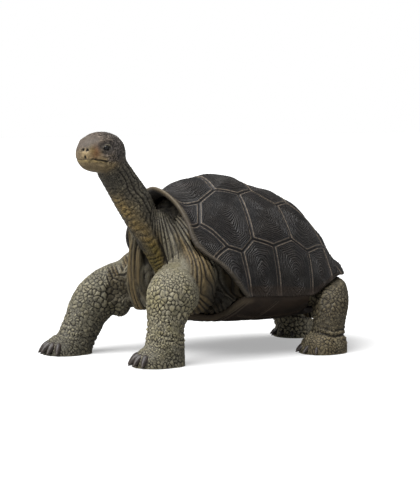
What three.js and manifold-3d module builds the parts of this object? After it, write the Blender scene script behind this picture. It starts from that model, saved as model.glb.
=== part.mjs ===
// A walking giant tortoise with a saddle-backed shell: a moulded and painted toy figure about ten
// centimetres long. Millimetres, +Z up. The animal faces -Y, its left side is +X, and the soles of
// its four feet stand on z = 0. The origin is on the ground under the middle of the figure.
//
// The shell is two thick sheets, the carapace and the plastron. The flesh is lofted along short
// centre lines, then cut clear of the shell and of its neighbours, so each sub-part is one solid.
import * as THREE from "three";
import { mergeVertices } from "three/addons/utils/BufferGeometryUtils.js";
import Module from "manifold-3d";

const wasm = await Module();
wasm.setup();

// ---- Driving dimensions -------------------------------------------------------------------------
const GAP = 0.3; // clear space between two sub-parts that meet
const FACETS = { // how finely each curved body is divided
  carapace: { columns: 24, rows: 13 },
  plastron: { columns: 10, rows: 14 },
  mass: { around: 12, down: 7 },
  eye: { around: 10, down: 6 },
  collar: { rings: 6, segments: 16, roundness: 2.3 },
  neck: { rings: 10, segments: 16 },
  head: { rings: 10, segments: 14 },
  leg: { rings: 9, segments: 12 },
  claw: { rings: 3, segments: 6 },
  tail: { rings: 8, segments: 12 },
};
const ORIGIN_SHIFT = { x: -2.72, y: -0.06 }; // moves the pose so that its box is centred on the origin

const SHELL = {
  wall: 1.7, // thickness of the carapace sheet
  lip: 1.3, // how far the front rim turns outward
  lipReach: 2.6, // how far back from the rim that turn dies away
  flare: 2.8, // how far the front corners of the skirt stand out
  flareAngle: 15, // where on the section that flare is widest, in degrees up from the lower edge
  flareSpread: 13, // and how far it spreads to each side, in degrees
  flareReach: 7, // how far back from the rim the flare dies away
  skirtSpread: 16, // how far up the section the rear skirt reaches, in degrees
  tailSpread: 24, // how much further up it reaches at the tail
  rearSetback: 1.5, // how much shorter the inner surface is than the outer one at the tail
};

// Dome outline by y: half-width at the rim, height of the ridge, height of the lower edge, the
// exponent of the cross-section (2 is an ellipse, less is more pointed), and how far the lowest
// part of the side stands out as a skirt.
const SHELL_STATIONS = [
  { y: -22, half: 22.5, top: 54.0, edge: 21.0, round: 1.9, skirt: 0 },
  { y: -16, half: 24.2, top: 53.4, edge: 20.7, round: 1.9, skirt: 0 },
  { y: -11, half: 25.3, top: 56.2, edge: 20.5, round: 1.9, skirt: 0 },
  { y: -2, half: 27.2, top: 58.3, edge: 20.0, round: 1.9, skirt: 0 },
  { y: 8, half: 28.0, top: 57.6, edge: 19.5, round: 1.9, skirt: 0 },
  { y: 18, half: 27.4, top: 53.9, edge: 19.0, round: 1.85, skirt: 0 },
  { y: 26, half: 25.4, top: 51.9, edge: 18.9, round: 1.72, skirt: 0.3 },
  { y: 33, half: 22.2, top: 48.3, edge: 22.0, round: 1.62, skirt: 1.8 },
  { y: 40, half: 17.2, top: 41.8, edge: 23.8, round: 1.6, skirt: 3.0 },
  { y: 46, half: 12.2, top: 34.0, edge: 23.6, round: 1.6, skirt: 3.2 },
  { y: 50.4, half: 7.8, top: 28.0, edge: 23.0, round: 2.4, skirt: 3.2 },
  { y: 53.4, half: 4.6, top: 27.6, edge: 23.2, round: 2.8, skirt: 1.6 },
];

// y of the front rim, from the lower corner (first) up the side to the ridge (last).
const FRONT_RIM = [-3.7, -11.4, -18.3, -19.0, -19.6, -20.6, -21.4];

// Lower shell by y: half-width, height of the flat bottom, and how far its sides rise.
const PLASTRON = { wall: 2.0, sidePower: 3.0 };
const PLASTRON_STATIONS = [
  { y: -14.5, half: 8.5, bottom: 11.8, rise: 0.8 },
  { y: -11, half: 13.0, bottom: 11.0, rise: 1.0 },
  { y: -6.5, half: 16.5, bottom: 10.4, rise: 1.7 },
  { y: -3, half: 26.4, bottom: 10.1, rise: 8.1 },
  { y: 6, half: 27.5, bottom: 9.8, rise: 8.5 },
  { y: 16, half: 27.0, bottom: 9.6, rise: 8.1 },
  { y: 24, half: 25.5, bottom: 9.6, rise: 7.9 },
  { y: 28.5, half: 16.5, bottom: 9.9, rise: 2.4 },
  { y: 36, half: 14.0, bottom: 10.6, rise: 1.2 },
  { y: 43, half: 11.0, bottom: 11.9, rise: 1.0 },
  { y: 47, half: 6.5, bottom: 13.2, rise: 0.8 },
];

// Flesh inside the shell keeps this far from the sheets' inner faces.
const TRUNK = { slack: 0.45, front: -12, rear: 47, rings: 7, segments: 16, roundness: 1.8 };

// Loose skin that runs from inside the front of the shell to the foot of the neck.
const COLLAR = [
  { at: [0, -4, 31], side: 22, up: 15, down: 14 },
  { at: [0, -12, 32], side: 20, up: 14, down: 14 },
  { at: [0, -16.6, 34], side: 16.4, up: 12.2, down: 5.0 },
  { at: [-0.1, -19.6, 38.5], side: 10.4, up: 9.4, down: 3.8 },
  { at: [-0.5, -23.4, 45], side: 5.6, up: 5.2, down: 3.8 },
];

// Rounded masses of the chest, shoulders and hips: centre and half-sizes.
const MASSES = [
  { at: [17.2, -17, 25], size: [8.8, 9.8, 10.5] },
  { at: [-15.5, -16.5, 23.5], size: [9, 9.5, 9.5] },
  { at: [0, -12.5, 21.5], size: [16, 8.2, 9.2] },
  { at: [13.5, 36.5, 22], size: [7.5, 8.5, 6] },
  { at: [-12.5, 36.5, 22], size: [7.5, 8.5, 6] },
];

// Neck from the chest to the back of the head: centre, half-width, dorsal and throat radii.
const NECK = [
  { at: [0.6, -16.6, 27.5], side: 3.4, up: 3.4, down: 3.6 },
  { at: [0.4, -19.0, 33], side: 4.2, up: 4.2, down: 4.2 },
  { at: [-0.3, -23.6, 41.5], side: 5.3, up: 5.1, down: 5.1 },
  { at: [-0.8, -27.2, 49.3], side: 6.2, up: 5.8, down: 6.0 },
  { at: [-0.9, -31.6, 56], side: 6.0, up: 5.2, down: 5.9 },
  { at: [-0.4, -36.2, 62.5], side: 5.8, up: 4.5, down: 5.8 },
];

// Head along its own forward axis: distance, half-width, crown and jaw radii.
const HEAD = { centre: [0.5, -41, 66.1], yaw: 21, pitch: 2, roundness: 2.15 };
const HEAD_STATIONS = [
  { along: -8.9, side: 2.6, up: 2.8, down: 3.4 },
  { along: -7.6, side: 4.5, up: 4.8, down: 5.2 },
  { along: -4, side: 6.6, up: 6.7, down: 6.2 },
  { along: 0, side: 6.9, up: 7.2, down: 6.2 },
  { along: 3.6, side: 6.3, up: 6.5, down: 5.9 },
  { along: 6.4, side: 5.0, up: 5.1, down: 5.2 },
  { along: 8.4, side: 3.5, up: 3.0, down: 3.9 },
  { along: 9.2, side: 1.7, up: 1.1, down: 2.1 },
];
const EYE = { along: 3.9, out: 5.3, up: 1.9, radius: 1.2 };

// Legs from shoulder or hip to sole. `toward` is the heading of the toes, in degrees from -Y
// towards +X. Each column ends below the ground, where it is cut flat. A flap is loose skin that
// hangs behind the elbow.
const LEGS = [
  {
    name: "front_left",
    claws: 5,
    toward: -18,
    foot: [23.2, -33.4],
    column: [
      { at: [14.0, -18.0, 25], side: 8.0, up: 7.6, down: 8.0 },
      { at: [18.0, -23.4, 24], side: 8.2, up: 7.8, down: 8.2 },
      { at: [20.0, -26.6, 21], side: 8.4, up: 8.2, down: 8.4 },
      { at: [20.8, -28.6, 16.6], side: 6.8, up: 7.0, down: 7.0 },
      { at: [21.6, -29.9, 12], side: 5.9, up: 6.0, down: 6.0 },
      { at: [22.6, -31.0, 5.5], side: 6.4, up: 6.4, down: 6.4 },
      { at: [23.0, -32.0, -3], side: 7.2, up: 7.2, down: 7.2 },
    ],
  },
  {
    name: "front_right",
    claws: 5,
    toward: -4,
    foot: [-17.6, -43.0],
    column: [
      { at: [-14, -12, 23], side: 8.0, up: 8.5, down: 8.5 },
      { at: [-17, -19.8, 22], side: 7.8, up: 8.3, down: 8.0 },
      { at: [-18.5, -27.4, 19.8], side: 7.5, up: 8.0, down: 7.8 },
      { at: [-18.8, -33.2, 15.2], side: 7.0, up: 7.6, down: 7.2 },
      { at: [-18.2, -37.4, 8.8], side: 6.3, up: 6.5, down: 6.3 },
      { at: [-17.7, -40.6, 3], side: 6.3, up: 6.5, down: 6.3 },
      { at: [-17.4, -42.0, -3], side: 6.8, up: 6.8, down: 6.8 },
    ],
    flap: { at: [-14.5, -25.0, 16.4], size: [4.4, 4.2, 5.4] },
  },
  {
    name: "hind_left",
    claws: 4,
    toward: -6,
    foot: [27.4, 28.7],
    column: [
      { at: [12.5, 38.0, 22.5], side: 6.0, up: 6.0, down: 6.2 },
      { at: [17.8, 37.4, 20.6], side: 6.0, up: 5.8, down: 6.3 },
      { at: [22.4, 35.0, 17.0], side: 6.1, up: 5.9, down: 6.2 },
      { at: [25.4, 32.4, 13.2], side: 5.9, up: 5.8, down: 5.9 },
      { at: [26.8, 30.9, 9], side: 5.9, up: 5.9, down: 5.9 },
      { at: [27.2, 29.9, 4], side: 6.6, up: 6.6, down: 6.6 },
      { at: [27.3, 29.5, -3], side: 7.2, up: 7.2, down: 7.2 },
    ],
  },
  {
    name: "hind_right",
    claws: 4,
    toward: 2,
    foot: [-12.0, 46.8],
    column: [
      { at: [-11.5, 34.5, 22], side: 6.0, up: 6.2, down: 6.2 },
      { at: [-14.2, 38, 19.0], side: 6.4, up: 6.6, down: 6.6 },
      { at: [-14.6, 42.2, 14], side: 6.6, up: 6.8, down: 6.8 },
      { at: [-13.4, 45.0, 8.5], side: 6.3, up: 6.4, down: 6.4 },
      { at: [-12.5, 46.6, 3], side: 6.5, up: 6.6, down: 6.6 },
      { at: [-12.3, 47.0, -3], side: 7.0, up: 7.0, down: 7.0 },
    ],
  },
];
const FOOT = { reach: 1.6, width: 7.5, length: 7.0, height: 6.4, wristHeight: 6.2 };
const KNEE_HEIGHT = 17;
const CLAW = { spread: 96, from: 4.6, to: 8.9, base: 1.6, tip: 0.4, rootZ: 2.2, tipZ: 0.7 };

const TAIL = [
  { at: [0.4, 40, 20.5], side: 5.4, up: 4.6, down: 4.6 },
  { at: [1.0, 45.5, 18.6], side: 4.2, up: 3.8, down: 3.8 },
  { at: [1.8, 49.6, 15.2], side: 2.9, up: 2.7, down: 2.7 },
  { at: [2.4, 51.4, 11.4], side: 1.4, up: 1.3, down: 1.3 },
];

const COLOURS = {
  shell: new THREE.MeshStandardMaterial({ color: 0x3a3431, roughness: 0.75, metalness: 0 }),
  belly: new THREE.MeshStandardMaterial({ color: 0x2e2823, roughness: 0.8, metalness: 0 }),
  skin: new THREE.MeshStandardMaterial({ color: 0x7d7660, roughness: 0.8, metalness: 0 }),
  claw: new THREE.MeshStandardMaterial({ color: 0x4b4038, roughness: 0.6, metalness: 0 }),
  eye: new THREE.MeshStandardMaterial({ color: 0x0c0c0c, roughness: 0.15, metalness: 0 }),
};

// ---- Numeric helpers ----------------------------------------------------------------------------
const { clamp, lerp, degToRad } = THREE.MathUtils;

// Uniform Catmull-Rom interpolation of a list of numbers, with t from 0 to list.length - 1.
function spline(list, t) {
  const last = list.length - 1;
  const place = clamp(t, 0, last);
  const i = Math.min(Math.floor(place), last - 1);
  const f = place - i;
  const before = i > 0 ? list[i - 1] : 2 * list[i] - list[i + 1];
  const after = i < last - 1 ? list[i + 2] : 2 * list[i + 1] - list[i];
  const m1 = (list[i + 1] - before) / 2;
  const m2 = (after - list[i]) / 2;
  const rise = list[i + 1] - list[i];
  return list[i] + f * (m1 + f * (3 * rise - 2 * m1 - m2 + f * (m1 + m2 - 2 * rise)));
}

// Where v falls among stations sorted by key, as a fractional index.
function placeOf(stations, key, v) {
  let i = 0;
  while (i < stations.length - 2 && v > stations[i + 1][key]) i += 1;
  return i + clamp((v - stations[i][key]) / (stations[i + 1][key] - stations[i][key]), 0, 1);
}

// One named size of sorted stations, interpolated at v.
function sizeAt(stations, key, size, v) {
  return spline(stations.map((s) => s[size]), placeOf(stations, key, v));
}

// sign(v) |v|^(2/n): the rounding of a superellipse.
function rounded(v, n) {
  return Math.sign(v) * Math.pow(Math.abs(v), 2 / n);
}

// ---- Geometry builders --------------------------------------------------------------------------
function indexedGeometry(points, triangles) {
  const geometry = new THREE.BufferGeometry();
  geometry.setAttribute("position", new THREE.Float32BufferAttribute(points.flat(), 3));
  geometry.setIndex(triangles.flat());
  return geometry;
}

// A closed tube along stations: superellipse sections whose side axis stays near sideAxis, with
// flat ends. `grow` fattens it evenly.
function loft(stations, { segments, rings, roundness = 2, grow = 0, sideAxis = [1, 0, 0] }) {
  const axis = new THREE.Vector3(...sideAxis);
  const last = stations.length - 1;
  const coordinate = [0, 1, 2].map((k) => stations.map((s) => s.at[k]));
  const centreAt = (t) => new THREE.Vector3(...coordinate.map((list) => spline(list, t)));
  const points = [];
  const triangles = [];
  for (let i = 0; i <= rings; i += 1) {
    const t = (last * i) / rings;
    const tangent = centreAt(Math.min(t + 0.02, last)).sub(centreAt(Math.max(t - 0.02, 0))).normalize();
    const side = axis.clone().addScaledVector(tangent, -axis.dot(tangent)).normalize();
    const up = tangent.clone().cross(side);
    const sizes = ["side", "up", "down"].map((key) => spline(stations.map((s) => s[key]), t) + grow);
    const centre = centreAt(t);
    if (i === 0) centre.addScaledVector(tangent, -grow);
    if (i === rings) centre.addScaledVector(tangent, grow);
    for (let j = 0; j < segments; j += 1) {
      const angle = (2 * Math.PI * j) / segments;
      const lift = rounded(Math.sin(angle), roundness);
      const p = centre.clone();
      p.addScaledVector(side, sizes[0] * rounded(Math.cos(angle), roundness));
      p.addScaledVector(up, lift * (lift > 0 ? sizes[1] : sizes[2]));
      points.push(p.toArray());
    }
  }
  const at = (i, j) => i * segments + (j % segments);
  for (let i = 0; i < rings; i += 1) {
    for (let j = 0; j < segments; j += 1) {
      triangles.push([at(i, j), at(i, j + 1), at(i + 1, j + 1)]);
      triangles.push([at(i, j), at(i + 1, j + 1), at(i + 1, j)]);
    }
  }
  for (let j = 1; j < segments - 1; j += 1) {
    triangles.push([at(0, 0), at(0, j + 1), at(0, j)]);
    triangles.push([at(rings, 0), at(rings, j), at(rings, j + 1)]);
  }
  return indexedGeometry(points, triangles);
}

// A thick sheet: surface(u, v, face) gives the outer (face 0) and inner (face 1) points on a grid.
function thickSheet(surface, { columns, rows }) {
  const points = [];
  const triangles = [];
  for (const face of [0, 1]) {
    for (let i = 0; i <= rows; i += 1) {
      for (let j = 0; j <= columns; j += 1) points.push(surface(i / rows, j / columns, face));
    }
  }
  const inner = (rows + 1) * (columns + 1);
  const at = (i, j) => i * (columns + 1) + j;
  for (let i = 0; i < rows; i += 1) {
    for (let j = 0; j < columns; j += 1) {
      const [a, b, c, d] = [at(i, j), at(i, j + 1), at(i + 1, j + 1), at(i + 1, j)];
      triangles.push([a, c, b], [a, d, c]);
      triangles.push([inner + a, inner + b, inner + c], [inner + a, inner + c, inner + d]);
    }
  }
  const border = [];
  for (let j = 0; j < columns; j += 1) border.push([at(0, j), at(0, j + 1)]);
  for (let i = 0; i < rows; i += 1) border.push([at(i, columns), at(i + 1, columns)]);
  for (let j = columns; j > 0; j -= 1) border.push([at(rows, j), at(rows, j - 1)]);
  for (let i = rows; i > 0; i -= 1) border.push([at(i, 0), at(i - 1, 0)]);
  for (const [a, b] of border) triangles.push([a, b, inner + b], [a, inner + b, inner + a]);
  return indexedGeometry(points, triangles);
}

function ellipsoid({ at, size }, grow = 0) {
  const geometry = new THREE.SphereGeometry(1, FACETS.mass.around, FACETS.mass.down);
  geometry.scale(size[0] + grow, size[1] + grow, size[2] + grow);
  return geometry.translate(...at);
}

// A manifold-3d solid from a closed geometry.
function solidOf(geometry) {
  const bare = new THREE.BufferGeometry();
  bare.setAttribute("position", geometry.getAttribute("position"));
  bare.setIndex(geometry.getIndex());
  const merged = mergeVertices(bare, 1e-4);
  const mesh = new wasm.Mesh({
    numProp: 3,
    vertProperties: new Float32Array(merged.attributes.position.array),
    triVerts: new Uint32Array(merged.index.array),
  });
  return new wasm.Manifold(mesh);
}

function geometryOf(solid) {
  const mesh = solid.getMesh();
  const geometry = new THREE.BufferGeometry();
  geometry.setAttribute("position", new THREE.BufferAttribute(mesh.vertProperties, 3));
  geometry.setIndex(new THREE.BufferAttribute(mesh.triVerts, 1));
  return geometry;
}

// The largest piece of a solid, without the slivers that a cut can leave beside it.
function mainBody(solid) {
  return solid.decompose().sort((a, b) => b.volume() - a.volume())[0];
}

// ---- The shell ----------------------------------------------------------------------------------
const shellSize = (size, y) => sizeAt(SHELL_STATIONS, "y", size, y);
const REAR_TIP = SHELL_STATIONS.at(-1).y;

// A point of the carapace: along runs 0 to 1 from the front rim to the tail, across runs 0 to 1
// from the left edge over the ridge to the right edge. The section is a half superellipse.
function carapacePoint(along, across, face, grow) {
  const angle = Math.PI * across;
  const height = (Math.min(across, 1 - across) * 2) * (FRONT_RIM.length - 1);
  const front = spline(FRONT_RIM, height) - grow;
  const setback = face === 1 ? SHELL.rearSetback * along * along + grow : -grow * along;
  const y = lerp(front, REAR_TIP, along) - setback;
  const inset = face === 1 ? SHELL.wall + grow : -grow;
  const half = Math.max(shellSize("half", y) - inset, 0.4);
  const round = shellSize("round", y);
  const edge = shellSize("edge", y) - grow;
  const crown = Math.max(shellSize("top", y) - inset - edge, 0.5);
  const lip = SHELL.lip * Math.exp(-(((y - front) / SHELL.lipReach) ** 2));
  const degrees = 180 * Math.min(across, 1 - across);
  const rise = (degrees - SHELL.flareAngle) / SHELL.flareSpread;
  const flare = SHELL.flare * Math.exp(-(rise ** 2) - ((y - front) / SHELL.flareReach) ** 2);
  const spread = SHELL.skirtSpread + SHELL.tailSpread * THREE.MathUtils.smoothstep(y, 45.5, 50);
  const skirt = shellSize("skirt", y) * Math.exp(-((degrees / spread) ** 2));
  const stand = lip * Math.cos(angle) + (flare + skirt) * Math.sign(0.5 - across);
  const x = half * rounded(Math.cos(angle), round) + stand;
  const z = edge + crown * rounded(Math.sin(angle), round) + lip * Math.sin(angle);
  return [x, y, z];
}

function carapace(grow) {
  return solidOf(thickSheet((u, v, face) => carapacePoint(u, v, face, grow), FACETS.carapace));
}

// A point of the plastron: a flat bottom whose sides rise to the carapace between the legs.
function plastronPoint(along, across, face, grow) {
  const ends = [PLASTRON_STATIONS[0].y - grow, PLASTRON_STATIONS.at(-1).y + grow];
  const y = lerp(ends[0], ends[1], along);
  const size = (key) => sizeAt(PLASTRON_STATIONS, "y", key, y);
  const side = 2 * across - 1;
  const lift = Math.pow(Math.abs(side), PLASTRON.sidePower) * size("rise");
  const shift = face === 1 ? PLASTRON.wall + grow : -grow;
  return [(size("half") + grow) * side, y, size("bottom") + lift + shift];
}

function plastron(grow) {
  const surface = (u, v, face) => plastronPoint(u, 1 - v, 1 - face, grow);
  return solidOf(thickSheet(surface, FACETS.plastron));
}

// ---- The flesh ----------------------------------------------------------------------------------
// The trunk fills the shell and swells into the collar, chest, shoulders and hips at its openings.
function trunk(grow) {
  const stations = [];
  for (let i = 0; i <= TRUNK.rings; i += 1) {
    const y = lerp(TRUNK.rear, TRUNK.front, i / TRUNK.rings);
    const middle = shellSize("edge", y);
    const under = sizeAt(PLASTRON_STATIONS, "y", "bottom", y) + PLASTRON.wall;
    const inset = SHELL.wall + TRUNK.slack;
    stations.push({
      at: [0, y, middle],
      side: shellSize("half", y) - inset,
      up: shellSize("top", y) - inset - middle,
      down: middle - under - TRUNK.slack,
    });
  }
  const { rings, segments, roundness } = TRUNK;
  const inside = solidOf(loft(stations, { rings, segments, roundness, grow }));
  const collar = solidOf(loft(COLLAR, { ...FACETS.collar, grow }));
  const masses = MASSES.map((mass) => solidOf(ellipsoid(mass, grow)));
  return masses.reduce((body, mass) => body.add(mass), inside.add(collar));
}

function neck(grow) {
  return solidOf(loft(NECK, { ...FACETS.neck, grow }));
}

// The head's own axes: forward, left and up.
function headAxes() {
  const turn = new THREE.Euler(degToRad(-HEAD.pitch), 0, degToRad(HEAD.yaw), "ZXY");
  const [forward, left, up] = [[0, -1, 0], [1, 0, 0], [0, 0, 1]].map((v) =>
    new THREE.Vector3(...v).applyEuler(turn),
  );
  return { forward, left, up };
}

function headPoint(along, out, up) {
  const axes = headAxes();
  const p = new THREE.Vector3(...HEAD.centre);
  p.addScaledVector(axes.forward, along).addScaledVector(axes.left, out);
  return p.addScaledVector(axes.up, up).toArray();
}

function head(grow) {
  const stations = HEAD_STATIONS.map(({ along, ...sizes }) => ({ at: headPoint(along, 0, 0), ...sizes }));
  const sideAxis = headAxes().left.toArray();
  return solidOf(loft(stations, { ...FACETS.head, roundness: HEAD.roundness, grow, sideAxis }));
}

function eye(side, grow) {
  const geometry = new THREE.SphereGeometry(EYE.radius + grow, FACETS.eye.around, FACETS.eye.down);
  return solidOf(geometry.translate(...headPoint(EYE.along, side * EYE.out, EYE.up)));
}

// ---- The legs -----------------------------------------------------------------------------------
function aboveGround(solid) {
  return solid.trimByPlane([0, 0, 1], 0);
}

// A unit vector on the ground, at an angle in degrees from -Y towards +X.
function heading(degrees) {
  return [Math.sin(degToRad(degrees)), -Math.cos(degToRad(degrees))];
}

// The whole leg: a column, the rounded front of the foot and any flap, cut flat at the ground.
function wholeLeg(leg, grow) {
  const column = solidOf(loft(leg.column, { ...FACETS.leg, grow }));
  const [dx, dy] = heading(leg.toward);
  const toes = ellipsoid({ at: [0, 0, 0], size: [FOOT.width, FOOT.length, FOOT.height] }, grow);
  toes.rotateZ(degToRad(leg.toward));
  toes.translate(leg.foot[0] + FOOT.reach * dx, leg.foot[1] + FOOT.reach * dy, 0);
  const whole = column.add(solidOf(toes));
  return aboveGround(leg.flap ? whole.add(solidOf(ellipsoid(leg.flap, grow))) : whole);
}

// One claw: a short tapering cone that leaves the toes and dips towards the ground.
function claw(leg, index) {
  const angle = leg.toward + CLAW.spread * (index / (leg.claws - 1) - 0.5);
  const [dx, dy] = heading(angle);
  const [hx, hy] = heading(leg.toward);
  const spot = (distance, z) => [
    leg.foot[0] + FOOT.reach * hx + distance * dx,
    leg.foot[1] + FOOT.reach * hy + distance * dy,
    z,
  ];
  const stations = [0, 0.45, 0.8, 1].map((t) => {
    const radius = lerp(CLAW.base, CLAW.tip, t * t);
    const z = lerp(CLAW.rootZ, CLAW.tipZ, t * t);
    return { at: spot(lerp(CLAW.from, CLAW.to, t), z), side: radius, up: radius, down: radius };
  });
  return solidOf(loft(stations, { ...FACETS.claw, sideAxis: [-dy, dx, 0] }));
}

// ---- Assembly -----------------------------------------------------------------------------------
const tortoise = new THREE.Group();
tortoise.position.set(ORIGIN_SHIFT.x, ORIGIN_SHIFT.y, 0);

function place(name, solid, material) {
  const mesh = new THREE.Mesh(geometryOf(mainBody(solid)), material);
  mesh.name = name;
  tortoise.add(mesh);
}

function buildShell() {
  place("carapace", carapace(0), COLOURS.shell);
  place("plastron", plastron(0).subtract(carapace(GAP)), COLOURS.belly);
}

function buildTrunk() {
  place("trunk", trunk(0).subtract(carapace(GAP)).subtract(plastron(GAP)), COLOURS.skin);
}

function buildNeckAndHead() {
  const clear = trunk(GAP).add(carapace(GAP)).add(head(GAP));
  place("neck", neck(0).subtract(clear), COLOURS.skin);
  place("head", head(0).subtract(eye(1, GAP)).subtract(eye(-1, GAP)), COLOURS.skin);
  place("eye_left", eye(1, 0), COLOURS.eye);
  place("eye_right", eye(-1, 0), COLOURS.eye);
}

function buildLeg(leg) {
  const clear = trunk(GAP).add(carapace(GAP)).add(plastron(GAP));
  const free = mainBody(wholeLeg(leg, 0).subtract(clear));
  const above = (solid, z) => solid.trimByPlane([0, 0, 1], z + GAP / 2);
  const below = (solid, z) => solid.trimByPlane([0, 0, -1], -z + GAP / 2);
  place(`${leg.name}_upper_leg`, above(free, KNEE_HEIGHT), COLOURS.skin);
  place(`${leg.name}_lower_leg`, above(below(free, KNEE_HEIGHT), FOOT.wristHeight), COLOURS.skin);
  place(`${leg.name}_foot`, below(free, FOOT.wristHeight), COLOURS.skin);
  const foot = wholeLeg(leg, GAP);
  for (let i = 0; i < leg.claws; i += 1) {
    place(`${leg.name}_claw_${i + 1}`, aboveGround(claw(leg, i)).subtract(foot), COLOURS.claw);
  }
}

function buildTail() {
  const clear = trunk(GAP).add(carapace(GAP)).add(plastron(GAP));
  place("tail", solidOf(loft(TAIL, FACETS.tail)).subtract(clear), COLOURS.skin);
}

buildShell();
buildTrunk();
buildNeckAndHead();
LEGS.forEach(buildLeg);
buildTail();

export default tortoise;
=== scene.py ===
"""Toy giant tortoise figure with a saddle-fronted shell, standing with its neck raised.

Laid out as an add-on: each operator builds one piece of the figure round the packed frame.
Lengths are millimetres in the figure's own axes (+X to its left, -Y forward, +Z up) until a mesh is
made.
"""

import math

import bpy
import mathutils
import numpy as np
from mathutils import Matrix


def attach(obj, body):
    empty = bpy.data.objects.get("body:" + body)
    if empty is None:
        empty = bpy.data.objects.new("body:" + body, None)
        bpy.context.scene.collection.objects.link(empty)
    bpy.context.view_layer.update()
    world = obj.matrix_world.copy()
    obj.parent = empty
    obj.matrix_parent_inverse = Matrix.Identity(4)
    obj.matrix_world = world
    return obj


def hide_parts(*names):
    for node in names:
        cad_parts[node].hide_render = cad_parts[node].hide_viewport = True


bl_info = {
    "name": "Toy Tortoise Figure",
    "version": (1, 0, 0),
    "blender": (4, 5, 0),
    "location": "View3D > Sidebar > Tortoise",
    "description": "Builds the shell, skin, claws and eyes of a hand-painted tortoise figure",
    "category": "Object",
}

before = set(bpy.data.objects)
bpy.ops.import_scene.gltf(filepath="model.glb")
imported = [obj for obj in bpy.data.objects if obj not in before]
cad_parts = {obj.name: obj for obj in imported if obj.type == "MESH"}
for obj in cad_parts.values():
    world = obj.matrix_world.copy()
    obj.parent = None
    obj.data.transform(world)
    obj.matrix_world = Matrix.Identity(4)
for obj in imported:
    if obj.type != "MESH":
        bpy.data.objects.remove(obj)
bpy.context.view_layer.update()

MM = 0.001  # metres in a millimetre
SEED = 7
MOST_TRIANGLES = 196_000
DISTANCES_AT_ONCE = 6_000_000  # keeps the tables of distances small
POINTS_AT_ONCE = 8000  # the same, beside the seams
# The figure's own axes stand beside the frame's: the frame is centred on the outline.
ORIGIN = np.array([-2.72, -0.06, 0.0])

# ---- Sizes of the shell ----
# Dome outline by y: half-width at the rim, height of the ridge, height of the lower edge, exponent
# of the cross-section (2 is an ellipse, less is more pointed), and the stand-out of the skirt.
SHELL_STATIONS = np.array([
    (-22.0, 22.5, 54.0, 21.0, 1.90, 0.0),
    (-16.0, 24.2, 53.4, 20.7, 1.90, 0.0),
    (-11.0, 25.3, 56.2, 20.5, 1.90, 0.0),
    (-2.0, 27.2, 58.3, 20.0, 1.90, 0.0),
    (8.0, 28.0, 57.6, 19.5, 1.90, 0.0),
    (18.0, 27.4, 53.9, 19.0, 1.85, 0.0),
    (26.0, 25.4, 51.9, 18.9, 1.72, 0.3),
    (33.0, 22.2, 48.3, 22.0, 1.62, 1.8),
    (40.0, 17.2, 41.8, 23.8, 1.60, 3.0),
    (46.0, 12.2, 34.0, 23.6, 1.60, 3.2),
    (50.4, 7.8, 27.3, 23.0, 2.40, 3.2),
    (53.4, 3.5, 27.9, 23.7, 2.40, 1.5),
])
FRONT_RIM = np.array([-3.7, -11.4, -18.3, -19.0, -19.6, -20.6, -21.4])  # y, every 15 degrees up
SHELL_WALL = 1.7
REAR_TIP = SHELL_STATIONS[-1, 0]
REAR_SETBACK = 1.5  # how much shorter the inner face is at the tail
RIM_BULGE = 0.55  # the rounded edge stands out from the sheet by this much
RIM_PALE_HEIGHT, RIM_PALE_REACH, RIM_PALE_LEAST = 57.0, 9.0, 0.3  # the rim is painted paler near this height, over this reach, and at least this much elsewhere
LIP, LIP_REACH = 1.3, 2.6
FLARE, FLARE_ANGLE, FLARE_SPREAD, FLARE_REACH = 2.8, 15.0, 13.0, 7.0
SKIRT_SPREAD, TAIL_SPREAD = 16.0, 24.0  # the skirt reaches this much further up at the tail
TAIL_TUCK = 2.4  # how far the lowest edge of the tail draws in again
SHELL_CELLS = (220, 384)  # outer face: cells along and across
INNER_STEP = 4  # the inner face is this many times coarser
RIM_ROWS = 4  # rows of points round a rolled edge
SEAM_CHORDS = 24  # straight pieces that stand for one seam
RING_PITCH = 0.95  # from one modelled growth ring to the next
GROWTH_LINE_PITCH = 0.52  # from one painted growth line to the next

# Corners of the horny plates on the left half: y, and degrees up the section from the lower edge.
# Those that start with a capital stand on the ridge, those with "rim" or "edge" on a border.
PLATE_CORNERS = {
    "rim_ridge": (-30.0, 90.0), "rim_1": (-26.0, 74.0), "rim_2": (-25.0, 38.5),
    "rim_3": (-21.0, 17.0), "rim_low": (-6.0, -6.0),
    "neck_top": (-11.6, 57.8), "neck_low": (-14.3, 44.2), "arm_low": (-7.3, 26.5),
    "back_1": (-4.3, 64.5), "Ridge_1": (-3.6, 90.0),
    "side_1_top": (3.5, 59.3), "side_1_low": (2.2, 29.8), "side_0_low": (-2.6, 23.2),
    "back_2": (10.3, 66.0), "Ridge_2": (13.6, 90.0),
    "side_2_top": (19.8, 60.6), "side_2_low": (18.8, 34.3), "flank_2": (9.8, 26.9),
    "back_3": (26.8, 67.6), "Ridge_3": (29.5, 90.0),
    "side_3_top": (35.6, 59.0), "side_3_low": (36.6, 33.5), "flank_3": (25.8, 29.0),
    "back_4": (41.0, 66.0), "Ridge_4": (42.6, 90.0),
    "side_4_top": (46.4, 50.0), "flank_4": (44.2, 36.0),
    "tail_side": (50.6, 52.0), "Ridge_5": (50.2, 90.0),
    "edge_1": (-1.8, -6.0), "edge_2": (10.0, -6.0), "edge_3": (24.2, -6.0), "edge_4": (34.6, -6.0),
    "edge_5": (43.4, -6.0), "edge_6": (49.0, -6.0), "edge_tail": (58.0, -6.0),
    "tail_ridge": (58.0, 90.0), "tail_edge": (58.0, 20.0),
}
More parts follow.
